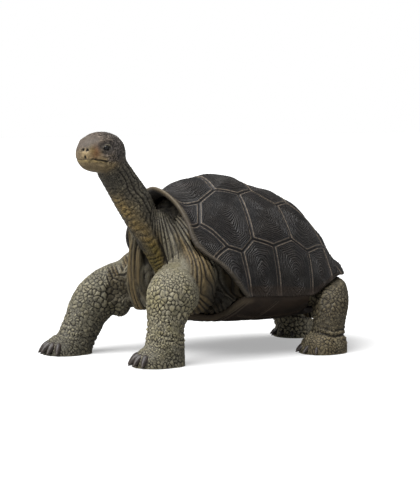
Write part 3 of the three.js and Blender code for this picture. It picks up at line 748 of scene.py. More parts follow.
def noise_vectors(points, scale, seed):
    """Three noises as vectors."""
    return np.stack([lattice_noise(points, scale, seed + k) for k in range(3)], 1)


def leg_scales(points, shares, places, point_area):
    """Scales of the legs: cells round evenly spread seeds, larger over the knee and finer at the
    shoulder and foot. Returns their height, and each point's distance to its scale's edge."""
    height, outline, tone = plain(points)
    crooked = points + 0.42 * noise_vectors(points, 1.5, SEED + 90)
    for i, name in enumerate(LEGS):
        t = places[name][0]
        own = np.flatnonzero((shares[name] > 0.04) & (points[:, 2] > 0.05))
        spacing = np.interp(t[own], *LEG_SCALES.T)
        spacing = spacing * (1 + 0.45 * lattice_noise(points[own], 3.2, SEED + 20 + i))
        seeds = even_seeds(crooked[own], spacing, point_area, SEED + i, 2)
        cell, edge, reach = nearest_two(crooked[own], seeds)
        chance = np.random.default_rng(SEED + i)
        shade, lump, ringed = (chance.random(len(seeds))[cell] for _ in range(3))
        tone[own] = np.where(shares[name][own] > 0.5, shade, tone[own])
        size = spacing / 1.5
        plate = smooth(0.0, 0.24, edge) + 0.16 * smooth(0.15, 0.7, edge) * size
        ring = (ringed < 0.35) * smooth(1.2, 1.6, spacing) * bell(reach - 0.36 * spacing, 0.17)
        knob = (lump - 0.45) * smooth(0.05, 0.5, edge) * bell(t[own] - 4.1, 1.1)
        fade = shares[name][own] * smooth(0.2, 1.6, t[own])
        foot = smooth(4.3, 5.0, t[own])
        rise = 0.17 * (size + 0.35 * foot) * (plate - 0.9) - 0.12 * ring + 0.42 * knob
        height[own] += fade * rise
        crack = np.minimum(edge / np.minimum(size, 1), 1.1 - ring)
        outline[own] = np.minimum(outline[own], crack + 0.5 * (1 - fade))
        height[own] += 0.1 * shares[name][own] * cloudy(points[own], 1.7, SEED + 60)
    return height, outline, tone


def neck_wrinkles(points, shares, places, point_area):
    """Wrinkles of the neck: cells on the neck rolled out as a cylinder of constant radius, whose
    length is squeezed towards the base, so that the cells are drawn out there; bands cross the
    throat."""
    t, angle, _ = places["neck"]
    share = shares["neck"] + 0.8 * shares["collar"] * (points[:, 2] > 40)
    share = share + 0.5 * shares["head"] * bell(places["head"][0], 1.3)
    own = np.flatnonzero(share > 0.05)
    length = np.interp(t[own], *NECK_LENGTH.T)
    turn = np.radians(angle[own])
    rolled = np.stack([NECK_RADIUS * np.cos(turn), NECK_RADIUS * np.sin(turn), length], 1)
    throat = throat_mask(t[own], angle[own])
    rolled = rolled + 0.45 * noise_vectors(points[own], 1.4, SEED + 94)
    spacing = np.interp(t[own], *NECK_SCALES.T)
    spacing = spacing * (1 + 0.3 * lattice_noise(points[own], 3.0, SEED + 98))
    seeds = even_seeds(rolled, spacing, point_area * 0.75, SEED + 10, 2)
    cell, edge, _ = nearest_two(rolled, seeds)
    height, outline, tone = plain(points)
    bands = ropes(t[own] * 4.2 + 0.7 * lattice_noise(rolled, 2.5, SEED + 11))
    cells = 0.2 * (smooth(0.0, 0.3, edge) + 0.3 * smooth(0.2, 0.7, edge) - 0.8)
    cells += 0.09 * cloudy(points[own], 1.5, SEED + 61)
    crease, flank = neck_creases(points[own], t[own], angle[own])
    cells = cells * (1 - 0.2 * flank) - 0.34 * flank * bell(crease, 0.26)
    height[own] = share[own] * (cells * (1 - 0.6 * throat) + throat * 0.34 * (bands ** 0.6 - 0.7))
    cracks = np.minimum(edge + 0.1 * flank, 1.1 * crease + 2.0 * (1 - flank))
    outline[own] = cracks + 0.8 * (1 - np.minimum(share[own], 1)) + 0.4 * throat
    tone[own] = np.random.default_rng(SEED + 12).random(len(seeds))[cell]
    return height, outline, tone


def neck_creases(points, t, angle):
    """Distance to the nearest long crease of the neck, and how much a place is on its left and rear
    side. The creases are lines of equal angle round the neck, swayed by a slow noise."""
    phase = (angle + 15 * lattice_noise(points, 3.6, SEED + 97)) / NECK_CREASE_PITCH
    beside = angle - throat_middle(t)
    flank = smooth(42, 66, beside) * smooth(170, 150, angle)
    flank = flank * smooth(0.9, 1.6, t) * smooth(5.5, 4.7, t)
    return np.abs(phase - np.round(phase)) * NECK_CREASE_PITCH * np.radians(4.8), flank


def throat_middle(t):
    """Angle of the throat's middle, which turns towards the neck's left side lower down."""
    return np.interp(t, *THROAT_MIDDLE.T)


def throat_mask(t, angle):
    """1 along the stripe of the throat, and round the neck's narrow foot."""
    stripe = bell(angle - throat_middle(t), THROAT_WIDTH)
    return np.maximum(stripe, smooth(1.5, 0.9, t)) * smooth(5.0, 4.2, t)


def skin_folds(points, shares, places):
    """Height of the loose skin's folds round the neck's foot, the shoulders and the hips: ropes,
    each deeper in some places than in others and split into finer ones further down, and a valley
    beside the neck. Also returns how strongly each point is folded, a slow change from fold to
    fold, and where the valley is."""
    fan, reach, upright, across, from_neck = fold_counts(points)

    def rope_field(count, along, split, seed):
        """Height and streaks of ropes: count numbers them, and split divides each in two."""
        spread = np.stack([count / 1.4, along / 11.0, 0 * count], 1)
        count = count + 0.3 * lattice_noise(spread, 1.0, seed)
        depth = 0.75 + 0.6 * lattice_noise(spread, 1.0, seed + 1)
        fine = ropes(2.1 * count + 0.7 * lattice_noise(spread, 0.7, seed + 2))
        streak = lattice_noise(np.stack([count / 0.9, along / 14.0, 0 * count], 1), 1.0, seed + 3)
        height = (0.72 - 0.46 * split) * (ropes(count) ** 0.8 - 0.65)
        height = height + (0.2 + 0.4 * split) * (fine ** 0.8 - 0.65)
        return np.stack([depth * height, streak], 1)

    rear = smooth(-2, 12, points[:, 1])[:, None]
    other = smooth(1, -1, points[:, 0])[:, None]
    front = (1 - other) * rope_field(fan, reach, smooth(15, 27, reach), SEED + 31)
    front += other * rope_field(upright, points[:, 2], 0.1, SEED + 39)
    back = rope_field(across, points[:, 2], 0.3, SEED + 35)
    rope, streak = ((1 - rear) * front + rear * back).T
    amount = shares["collar"]
    for name in LEGS:
        root = 1.5 if name.startswith("front") else 1.2
        amount = amount + shares[name] * smooth(root, root - 1.1, places[name][0])
    x, y, z = points.T
    beside = smooth(-41.0, -38.0, y + 0.67 * x) * smooth(15.0, 19.0, z)
    amount = amount + shares["front_right"] * beside
    dome = blob_on_each_side(points, SHOULDER_DOME)
    amount = smooth(0.15, 0.65, amount) * (1 - 0.9 * smooth(0.15, 0.6, dome))
    height = FOLD_DEPTH * amount * rope
    valley = bell(from_neck - 1.3, 1.1) * smooth(27, 31, z) * smooth(48, 42, z)
    valley = valley * shares["collar"] * (y < -12)
    pit = ARM_PIT_DEPTH * blob_on_each_side(points, ARM_PIT) * shares["collar"]
    return height - 1.2 * valley - pit, amount, streak, valley


def spot(along, high, centre, size, width=1.0):
    """exp(-(norm / width)^2) of an ellipse on the side of the head."""
    return bell(np.hypot((along - centre[0]) / size[0], (high - centre[1]) / size[1]), width)


def head_relief(points, shares):
    """Relief of the head in its own axes: the beak's mouth line and notch, nostrils, lids round the
    eyes, brow, cheek and small scales on the crown and temples. Also returns masks for painting."""
    forward, left, up = head_axes()
    d = points - HEAD_CENTRE
    along, out, high = d @ forward, d @ left, d @ up
    side = np.abs(out)
    share = shares["head"]
    mouth_height = np.interp(along, MOUTH_LINE[:, 0], MOUTH_LINE[:, 1])
    mouth = bell(high - mouth_height, 0.24) * smooth(3.0, 3.6, along)
    mouth = mouth * (0.35 + 0.65 * smooth(8.2, 7.2, along))
    notch_up = high + 1.25
    notch = bell(np.hypot((out - 1.0) / (0.75 - 0.25 * notch_up), notch_up) / 0.55, 1.0)
    notch = notch * smooth(7.5, 8.5, along)
    nostril_out = out - 1.75 * np.sign(out - 0.9) * 0.45 - 0.9
    nostril = bell(np.hypot(nostril_out, (high - 1.15) / 0.9), 0.42) * smooth(7.0, 8.0, along)
    eye_along, eye_up = along - EYE_ALONG, high - EYE_UP
    lid = np.hypot(eye_along / 1.3, (eye_up + 0.2 * eye_along) / 0.85)
    on_side = smooth(2.5, 4.0, side)
    socket = bell(lid, 0.72) * on_side
    lids = bell(lid - 1.08, 0.2) * on_side * (0.12 + 0.88 * smooth(0.0, 0.7, eye_up))
    brow = spot(along, high, (3.6, 4.0), (3.4, 1.1), 0.8) * on_side
    orbit = bell(lid - 1.9, 0.4) * on_side
    cheek = spot(along, high, (2.0, -0.6), (2.6, 1.6)) * on_side
    jaw_step = smooth(0.0, -0.9, high - mouth_height) * smooth(2.5, 5.5, along)
    jaw_step = jaw_step * smooth(-5.2, -3.5, high)
    folds = bell(lid - 2.5, 0.22) * on_side * smooth(1.0, -1.5, eye_along)
    height = -0.40 * mouth - 0.6 * notch - 0.7 * nostril - 0.8 * socket + 0.26 * lids + 0.4 * brow
    height = height - 0.2 * orbit - 0.12 * jaw_step + 0.25 * cheek - 0.15 * folds
    height = height + 0.09 * cloudy(points, 1.3, SEED + 62) * smooth(6.5, 4.0, along)
    beak = smooth(4.9, 6.6, along + 0.25 * np.abs(high))
    beak = beak + smooth(3.2, 4.4, along) * smooth(-0.6, -1.6, high)
    # Painted shadow under the brow, above and behind the eye.
    brow_shadow = spot(along, high, (2.9, 3.5), (2.6, 0.9))
    masks = {
        "along": along, "high": high, "out": out, "beak": np.clip(beak, 0, 1) * share,
        "mouth": np.clip(mouth + notch + nostril * 1.2, 0, 1) * share, "lids": lids * share,
        "socket": bell(lid, 2.0) * on_side * share, "brow": brow_shadow * on_side * share,
        "hollow_eye": bell(lid, 1.0) * on_side * share,
    }
    return height * share, masks


# ---- Colour ----
def linear(colour):
    """Linear light values of an sRGB colour given as 0 to 255."""
    c = np.array(colour, float) / 255
    return np.where(c <= 0.04045, c / 12.92, ((c + 0.055) / 1.055) ** 2.4)


def pot(name):
    """One of the paints, as linear red, green and blue."""
    return tuple(getattr(bpy.context.scene.tortoise_paints, name))


def brushed(paint, colour, mask):
    """Paint with a colour laid over it where mask is 1."""
    mask = np.clip(mask, 0, 1)[:, None]
    return paint * (1 - mask) + np.array(colour) * mask


def skin_paint(points, shares, places, folds, masks, tone):
    """Colour of the painted skin before the dark wash: coats laid one over another, each with a
    soft mask, and each scale a little lighter or darker than the next. Some of it is painted
    shade and light: ink behind the forelegs, under the brows and in the cavity under the shell's
    front, grey on the right foreleg and low on the front feet, legs darker towards the ground, and
    the hind legs lightened."""
    _, y, z = points.T
    folded, streak, valley = folds
    mottle = cloudy(points, 5.0, SEED + 50)
    small = cloudy(points, 2.2, SEED + 54)
    hind = shares["hind_left"] + shares["hind_right"] + shares["tail"]
    # Painted shade: the hollow behind each foreleg, under the shell's rim, is darkened.
    pit = folded * smooth(31, 21, z) * smooth(-20, -13, y) * smooth(4, -2, y)
    t, angle, _ = places["neck"]
    neck = np.clip(shares["neck"] + 0.8 * shares["collar"] * smooth(38, 42, z), 0, 1)
    throat = throat_mask(t, angle) * shares["neck"]
    bands = throat * (0.35 + 0.5 * smooth(-0.4, 0.4, small)) * smooth(4.6, 3.2, t)
    head = shares["head"]
    along, high, out = masks["along"], masks["high"], masks["out"]
    rear = smooth(3.5, -1.0, along + 0.6 * small) * smooth(-5.0, 0.0, high)
    beak = masks["beak"] * smooth(2.2, 0.4, high + 0.5 * small)
    beak = beak * (0.75 + 0.25 * smooth(-0.3, 0.3, small))
    gape = smooth(0.15, -0.5, high - np.interp(along, MOUTH_LINE[:, 0], MOUTH_LINE[:, 1]))
    gape = head * 0.8 * gape * smooth(2.8, 4.2, along) * smooth(-3.6, -2.2, high)
    flame = spot(along, high, (7.5, 0.4), (1.1, 1.7)) * smooth(2.2, 3.0, out)
    stripe = spot(along, high, (8.2, 1.2), (0.8, 1.8)) * smooth(1.6, 2.4, out)
    paint = np.tile(pot("khaki"), (len(points), 1))
    for name, mask in (
        ("olive", 0.45 * smooth(-0.1, 0.5, mottle)),
        ("stone", 0.7 * smooth(0.0, 0.6, small)),
        ("bark", 0.9 * hind * (0.75 + 0.25 * smooth(-0.4, 0.4, mottle))),
        # The grey on the right foreleg is in part painted shade, as is the grey low on the front
        # feet.
        ("lead_and_shade", 0.65 * shares["front_right"] * smooth(-0.5, 0.5, small + 0.3)),
        ("lead_and_shade", 0.5 * (1 - hind) * smooth(7.5, 4.5, z)),
        ("lead_and_shade", 0.8 * shares["hind_right"]),
        ("rope", folded),
        ("ochre", 0.8 * folded * smooth(0.0, 0.4, streak)),
        ("stone", 0.6 * folded * smooth(0.15, 0.6, -streak)),
        # Painted shade in the hollows behind the forelegs.
        ("ink_and_shade", 0.78 * pit),
        ("slate", neck),
        ("khaki", 0.3 * neck * smooth(0.0, 0.6, small)),
        ("shadow", 0.45 * neck * bell(angle - 75, 80) * smooth(0.8, 1.6, t)),
        ("throat", bands),
        ("moss", 0.8 * throat * smooth(1.9, 1.3, t)),
        ("crown", 0.95 * head),
        ("storm", head * rear * 0.6),
        ("jaw", head * smooth(-2.0, -3.2, high) * smooth(-4.0, 2.0, along)),
        ("beak", beak * (1 - 0.6 * smooth(0.0, -2.0, out))),
        ("straw", gape),
        ("jaw", head * 0.7 * smooth(-2.8, -4.4, high)),
        ("amber", head * 0.9 * flame),
        ("moss", head * 0.6 * stripe),
        ("storm", 0.9 * masks["socket"]),
        ("ink_and_shade", 0.45 * masks["socket"] ** 1.5),
        ("ink_and_shade", 0.9 * masks["hollow_eye"]),
        # Painted shadow under each brow.
        ("ink_and_shade", 0.5 * masks["brow"]),
        ("stone", 0.4 * masks["lids"] * smooth(-0.2, 0.6, high - EYE_UP)),
        ("ink_and_shade", masks["mouth"]),
        ("ink_and_shade", 0.4 * valley),
        # Painted shade in the cavity under the shell's front, behind the neck.
        ("ink_and_shade", 0.45 * shares["collar"] * smooth(41, 46, z) * smooth(-20, -16, y)),
    ):
        paint = brushed(paint, pot(name), mask)
    fleck = np.random.default_rng(SEED + 99).random(len(points))
    fleck = fleck - 0.5 - 1.3 * (fleck < 0.13) + 0.9 * (fleck > 0.95)
    speckled = 0.45 + 1.5 * head * smooth(7.0, 4.5, along) * smooth(-5.0, -2.5, high)
    legs = 1 - np.clip(neck + head + folded, 0, 1)
    # Painted shade and light: the legs darken towards the ground, the right hind leg is much
    # lightened, and the left hind foot is lightened while the leg above it is darkened. Tone and
    # flecks are the paint's own.
    light = 1 - 0.12 * legs * smooth(16, 5, z) + 2.2 * shares["hind_right"]
    light = light + shares["hind_left"] * (0.6 * smooth(9, 6, z) - 0.15 * smooth(12, 18, z))
    light = (1 + 0.28 * (tone - 0.5)) * np.maximum(1 + speckled * fleck, 0.1) * light
    return paint * light[:, None]


# ---- Materials ----
class Finish:
    """A node material with a Principled shader, and short calls that add its nodes."""

    def __init__(self, name, roughness, specular=0.5):
        self.material = bpy.data.materials.new(name)
        self.material.use_nodes = True
        self.tree = self.material.node_tree
        self.shader = self.tree.nodes["Principled BSDF"]
        self.shader.inputs["Roughness"].default_value = roughness
        self.shader.inputs["Specular IOR Level"].default_value = specular
        self.place = self.add("ShaderNodeTexCoord").outputs["Object"]

    def add(self, kind, links=None, **settings):
        """A node of a kind, with inputs linked or set from links, and its own settings."""
        node = self.tree.nodes.new(kind)
        for key, value in settings.items():
            setattr(node, key, value)
        for socket, value in (links or {}).items():
            if isinstance(value, bpy.types.NodeSocket):
                self.tree.links.new(value, node.inputs[socket])
            else:
                node.inputs[socket].default_value = value
        return node

    def attribute(self, name, output="Fac"):
        """What the mesh stores under a name."""
        return self.add("ShaderNodeAttribute", attribute_name=name).outputs[output]

    def noise(self, size, detail=3.0):
        """Noise whose features are about `size` millimetres."""
        links = {"Vector": self.place, "Scale": 1 / (size * MM), "Detail": detail}
        return self.add("ShaderNodeTexNoise", {**links, "Roughness": 0.55}).outputs["Fac"]

    def cells(self, size):
        """Distance to the edge of irregular cells about `size` millimetres wide."""
        links = {"Vector": self.place, "Scale": 1 / (size * MM)}
        node = self.add("ShaderNodeTexVoronoi", links, feature="DISTANCE_TO_EDGE")
        return node.outputs["Distance"]

    def ramp(self, value, low, high, start=0.0, end=1.0):
        """value from low to high becomes start to end, along an S-curve and no further."""
        links = {"Value": value, "From Min": low, "From Max": high, "To Min": start, "To Max": end}
        node = self.add("ShaderNodeMapRange", links, interpolation_type="SMOOTHSTEP")
        return node.outputs["Result"]

    def math(self, operation, a, b=0.0):
        """One operation on one or two numbers."""
        return self.add("ShaderNodeMath", {0: a, 1: b}, operation=operation).outputs[0]

    def times(self, a, b):
        """The product of two numbers."""
        return self.math("MULTIPLY", a, b)

    def mix(self, amount, under, over, blend="MIX"):
        """One colour laid over another."""
        node = self.add("ShaderNodeMix", {0: amount}, data_type="RGBA", blend_type=blend)
        for socket, value in ((6, under), (7, over)):
            if isinstance(value, bpy.types.NodeSocket):
                self.tree.links.new(value, node.inputs[socket])
            else:
                node.inputs[socket].default_value = (*value, 1)
        return node.outputs[2]

    def bump(self, height, distance, strength=1.0, before=None):
        """Fine relief of `distance` millimetres, added to the normal before it."""
        links = {"Height": height, "Distance": distance * MM, "Strength": strength}
        if before is not None:
            links["Normal"] = before
        return self.add("ShaderNodeBump", links).outputs["Normal"]

    def finish(self, colour, normal=None, roughness=None, glow=None):
        """Links what is given to the shader, and returns the material."""
        for socket, value in (("Base Color", colour), ("Normal", normal), ("Roughness", roughness),
                              ("Emission Strength", glow)):
            if value is not None:
                self.tree.links.new(value, self.shader.inputs[socket])
        return self.material


def skin_material():
    """Painted vinyl: the region's colour, a dark wash that lies in hollows and between scales, pale
    dry-brushing on what stands up, and the fine grain of moulded skin."""
    f = Finish("painted_skin", 0.6, 0.2)
    colour = f.attribute("paint", "Color")
    hollow = f.attribute("hollow")
    outline = f.attribute("outline")
    blotch = f.noise(1.6)
    speck = f.noise(0.28, 2.0)
    grain = f.cells(0.62)
    colour = f.mix(f.ramp(blotch, 0.35, 0.65, 0.0, 0.5), colour, (0.66, 0.62, 0.56), "MULTIPLY")
    lighter = f.mix(1.0, colour, (2.1, 2.05, 1.85), "MULTIPLY")
    colour = f.mix(f.ramp(speck, 0.4, 0.7, 0.0, 0.3), colour, lighter)
    colour = f.mix(f.ramp(grain, 0.12, 0.0, 0.0, 0.35), colour, pot("wash"))
    raised = f.ramp(hollow, -0.02, -0.14, 0.0, 0.8)
    colour = f.mix(f.times(raised, f.ramp(blotch, 0.25, 0.6, 0.3, 1.0)), colour, lighter)
    colour = f.mix(f.ramp(hollow, 0.03, 0.2, 0.0, 0.85), colour, pot("wash"))
    colour = f.mix(f.ramp(outline, 0.15, 0.04, 0.0, 0.92), colour, pot("wash"))
    normal = f.bump(grain, 0.10, 0.55)
    normal = f.bump(speck, 0.06, 0.5, normal)
    return f.finish(colour, normal, f.ramp(f.noise(2.4), 0.3, 0.7, 0.5, 0.68))


def shell_material():
    """Painted shell: near-black brown with a cool bloom, pale dry-brushing on the ridges beside the
    seams and on the rim, and the crowded growth lines of each plate."""
    f = Finish("painted_shell", 0.5, 0.25)
    seam, growth, rim = (f.attribute(name) for name in ("seam", "growth", "rim"))
    wide = f.noise(9.0, 4.0)
    fine = f.noise(0.7, 3.0)
    colour = f.mix(f.ramp(wide, 0.35, 0.65), pot("shell_dark"), pot("shell_cool"))
    colour = f.mix(f.ramp(f.noise(5.0), 0.5, 0.72, 0.0, 0.6), colour, pot("shell_purple"))
    warp = f.times(f.noise(3.0), 0.9)
    turn = 2 * math.pi / GROWTH_LINE_PITCH
    lines = f.math("SINE", f.times(f.math("ADD", growth, warp), turn))
    patchy = f.times(f.ramp(f.noise(4.0), 0.35, 0.6, 0.35, 1.0), f.ramp(seam, 0.9, 1.8))
    crest = f.times(f.ramp(lines, 0.2, 1.0), patchy)
    colour = f.mix(f.times(crest, 0.5), colour, pot("shell_dust"))
    trough = f.times(f.ramp(lines, -0.1, -1.0), f.ramp(seam, 0.8, 1.4))
    colour = f.mix(f.times(trough, 0.75), colour, pot("shell_deep"))
    worn = f.ramp(fine, 0.30, 0.62, 0.25, 1.0)
    ridge = f.times(f.ramp(seam, 0.38, 0.58), f.ramp(seam, 0.84, 0.66))
    colour = f.mix(f.times(f.times(ridge, worn), 0.8), colour, pot("seam_pale"))
    colour = f.mix(f.ramp(seam, 0.34, 0.1, 0.0, 0.85), colour, pot("shell_deep"))
    edging = f.times(f.ramp(rim, 1.5, 0.2, 0.0, 0.8), f.ramp(rim, -1.8, -0.4, 0.15, 1.0))
    # The rim's tan is painted strongest near the top of the shell and fainter lower down.
    edging = f.times(edging, f.attribute("wear"))
    colour = f.mix(edging, colour, pot("rim_tan"))
    colour = f.mix(f.ramp(f.attribute("band"), 0.0, 1.0, 0.0, 0.75), colour, pot("shell_brown"))
    colour = f.mix(f.ramp(f.noise(0.35, 2.0), 0.58, 0.75, 0.0, 0.3), colour, pot("shell_dust"))
    ringed = f.times(f.ramp(seam, 0.8, 1.4), f.ramp(rim, 0.3, 1.5))
    normal = f.bump(lines, 0.16, ringed)
    normal = f.bump(fine, 0.12, 0.35, normal)
    return f.finish(colour, normal, f.ramp(f.noise(1.8), 0.3, 0.7, 0.42, 0.6))


def belly_material():
    """Painted lower shell: dark brown with paler seams and soft stains."""
    f = Finish("painted_belly", 0.6, 0.15)
    seam = f.attribute("seam")
    colour = f.mix(f.ramp(f.noise(7.0), 0.35, 0.65), pot("belly_dark"), pot("shell_brown"))
    ridge = f.times(f.ramp(seam, 0.25, 0.45), f.ramp(seam, 0.9, 0.6))
    colour = f.mix(f.times(ridge, 0.25), colour, pot("seam_pale"))
    colour = f.mix(f.ramp(seam, 0.22, 0.05, 0.0, 0.7), colour, pot("shell_deep"))
    colour = f.mix(f.ramp(f.attribute("rim"), 2.4, 0.4, 0.0, 0.3), colour, pot("rim_tan"))
    return f.finish(colour, f.bump(f.noise(0.7), 0.12, 0.4))


def claw_material():
    """Painted horn: dark brown at the root, streaked lengthways and worn paler at the tip."""
    f = Finish("painted_claw", 0.42, 0.5)
    tip, streak = f.attribute("tip"), f.attribute("streak")
    colour = f.mix(f.ramp(f.noise(1.2), 0.3, 0.7), pot("claw_dark"), pot("claw_brown"))
    patchy = f.times(f.ramp(streak, 0.3, 0.95), f.ramp(f.noise(0.6), 0.4, 0.65, 0.0, 0.5))
    colour = f.mix(patchy, colour, pot("claw_pale"))
    colour = f.mix(f.ramp(tip, 0.6, 1.0, 0.0, 0.3), colour, pot("claw_pale"))
    return f.finish(colour, f.bump(f.noise(0.4), 0.08, 0.4))


def eye_material():
    """Glossy dark eye, a brown iris round a black pupil."""
    f = Finish("painted_eye", 0.2, 0.35)
    f.shader.inputs["Coat Weight"].default_value = 0.25
    f.shader.inputs["Coat Roughness"].default_value = 0.08
    iris = f.attribute("iris")
    colour = f.mix(f.ramp(iris, 0.42, 0.5), pot("pupil"), pot("iris"))
    colour = f.mix(f.ramp(iris, 0.72, 0.85), colour, pot("pupil"))
    return f.finish(colour, f.bump(f.noise(0.5), 0.02, 0.2))


# ---- The shell ----
def shell_point(along, across, inner=0.0):
    """A point of the carapace. With a = pi * across, y runs from the front rim to the tail as along
    goes 0 to 1, x is half-width * cos a and z is edge + crown * sin a, both with the rounding of a
    superellipse; the lip, flare and skirt stand out near the borders. inner goes 0 to 1 through the
    wall."""
    angle = np.pi * across
    low = np.minimum(across, 1 - across)
    front = spline(FRONT_RIM, low * 12)
    y = front + RIM_BULGE + (REAR_TIP - front - 2 * RIM_BULGE) * along
    y = y - inner * REAR_SETBACK * along ** 2
    half, top, edge, n, skirt = by_y(SHELL_STATIONS, y)
    inset = SHELL_WALL * inner
    half = np.maximum(half - inset, 0.4)
    edge = edge + RIM_BULGE
    crown = np.maximum(top - inset - edge, 0.5)
    lip = LIP * bell(y - front, LIP_REACH)
    degrees = 180 * low
    flare = ((degrees - FLARE_ANGLE) / FLARE_SPREAD) ** 2
    flare = FLARE * np.exp(-flare - ((y - front) / FLARE_REACH) ** 2)
    skirt = skirt * bell(degrees, SKIRT_SPREAD + TAIL_SPREAD * smooth(45.5, 50.0, y))
    skirt = skirt - TAIL_TUCK * smooth(46.5, 50.5, y) * bell(degrees, 15.0)
    stand = lip * np.cos(angle) + (flare + skirt) * np.sign(0.5 - across)
    x = half * rounded(np.cos(angle), n) + stand
    z = edge + crown * rounded(np.sin(angle), n) + lip * np.sin(angle)
    return np.stack([x, y, z], -1)


def even_places(surface, count):
    """Places from 0 to 1 that cut a surface's rows, or its columns, into lengths as even as the
    longest of them allows. surface(place) gives the points that lie at one place."""
    fine = np.linspace(0, 1, 400)
    line = surface(fine)
    step = np.linalg.norm(np.diff(line, axis=0), axis=-1).max(axis=1)
    length = np.concatenate([[0], np.cumsum(step)])
    return np.interp(np.linspace(0, length[-1], count + 1), length, fine)


def plate_outlines():
    """The plates of both halves as arrays of (y, degrees) corners, with their growth centres, and
    the seams between them as pairs of corners."""
    plates, seams = [], {}
    for names, centre in PLATES:
        names = names.split()
        corners = np.array([PLATE_CORNERS[n] for n in names])
        mirror = corners[::-1] * (1, -1) + (0, 180)
        if names[0][0].isupper() or names[-1][0].isupper() or "rim_ridge" in names:
            plates.append((np.concatenate([corners, mirror]), np.array([centre[0], 90.0])))
        else:
            far_centre = np.array([centre[0], 180 - centre[1]])
            plates += [(corners, np.array(centre)), (mirror, far_centre)]
        for a, b in zip(names, names[1:] + names[:1]):
            border = all(n.startswith(("rim", "edge", "tail_ridge", "tail_edge")) for n in (a, b))
            centre_line = a[0].isupper() and b[0].isupper() or {a, b} == {"rim_ridge", "Ridge_1"}
            centre_line = centre_line or {a, b} == {"Ridge_5", "tail_ridge"}
            if not border and not centre_line:
                seams[frozenset((a, b))] = (PLATE_CORNERS[a], PLATE_CORNERS[b])
    left = np.array(list(seams.values()))
    return plates, np.concatenate([left, left * (1, -1) + (0, 180)])


def on_shell(y, degrees):
    """Points of the outer face at a given y and section angle, and whether the sheet is there."""
    across = np.clip(degrees / 180, 0, 1)
    front = spline(FRONT_RIM, np.minimum(across, 1 - across) * 12)
    along = (y - front - RIM_BULGE) / (REAR_TIP - front - 2 * RIM_BULGE)
    there = (along > -0.01) & (along < 1.01) & (degrees > -1) & (degrees < 181)
    return shell_point(np.clip(along, 0, 1), across), there


def seam_distance(points, seams):
    """Distance from points to the seams, each a straight line in y and degrees laid on the shell
    and cut into short chords."""
    f = np.linspace(0, 1, SEAM_CHORDS + 1)[:, None]
    lines, there = zip(*(on_shell(*((1 - f) * a + f * b).T) for a, b in seams))
    a = np.concatenate([line[:-1] for line in lines])
    b = np.concatenate([line[1:] for line in lines])
    kept = np.concatenate([t[:-1] & t[1:] for t in there])
    a, b = a[kept], b[kept]
    chord = b - a
    square = np.maximum((chord ** 2).sum(1), 1e-9)
    best = np.full(len(points), 99.0)
    for start in range(0, len(points), POINTS_AT_ONCE):
        p = points[start:start + POINTS_AT_ONCE]
        ahead = p @ chord.T - (a * chord).sum(1)
        f = np.clip(ahead / square, 0, 1)
        d = (p ** 2).sum(1)[:, None] - 2 * p @ a.T + (a ** 2).sum(1) - 2 * f * ahead
        best[start:start + POINTS_AT_ONCE] = np.sqrt(np.maximum((d + f ** 2 * square).min(1), 0))
    return best


def inside_outline(flat, outline):
    """Whether flat points lie inside a closed outline: an odd number of its sides is crossed."""
    x, y = flat.T
    inside = np.zeros(len(flat), bool)
    for (ax, ay), (bx, by) in zip(outline, np.roll(outline, -1, axis=0)):
        if ay != by:
            inside ^= ((ay > y) != (by > y)) & (x < (bx - ax) * (y - ay) / (by - ay) + ax)
    return inside


def growth_rings(flat, points, seam, plates):
    """Distance of points from their plate's seam, stretched so that it runs from 0 at the seam to
    the plate's own reach at its growth centre: seam / (seam + way to the centre) * reach."""
    growth = np.full(len(points), 0.0)
    for outline, centre in plates:
        own = inside_outline(flat, outline)
        middle = on_shell(*centre[:, None])[0][0]
        away = np.linalg.norm(points[own] - middle, axis=1)
        reach = np.percentile(away, 80) if own.any() else 1.0
        growth[own] = seam[own] / np.maximum(seam[own] + 0.8 * away, 1e-6) * reach
    return growth


def border_loop(rows, columns):
    """Point numbers round a grid of points: front, right side, back, left side."""
    i = np.arange(rows * columns).reshape(rows, columns)
    return np.concatenate([i[0, :-1], i[:-1, -1], i[-1, :0:-1], i[:0:-1, 0]])


def rolled_border(outer, inner_edge, inward, bulge):
    """Rows of points from an outer edge to an inner one along half an ellipse: with a from 0 to pi,
    middle + half the wall * cos a - inward * bulge * sin a."""
    a = np.linspace(0, np.pi, RIM_ROWS + 2)[1:-1, None, None]
    middle, half = (outer + inner_edge) / 2, (outer - inner_edge) / 2
    return middle + half * np.cos(a) - inward * bulge * np.sin(a)


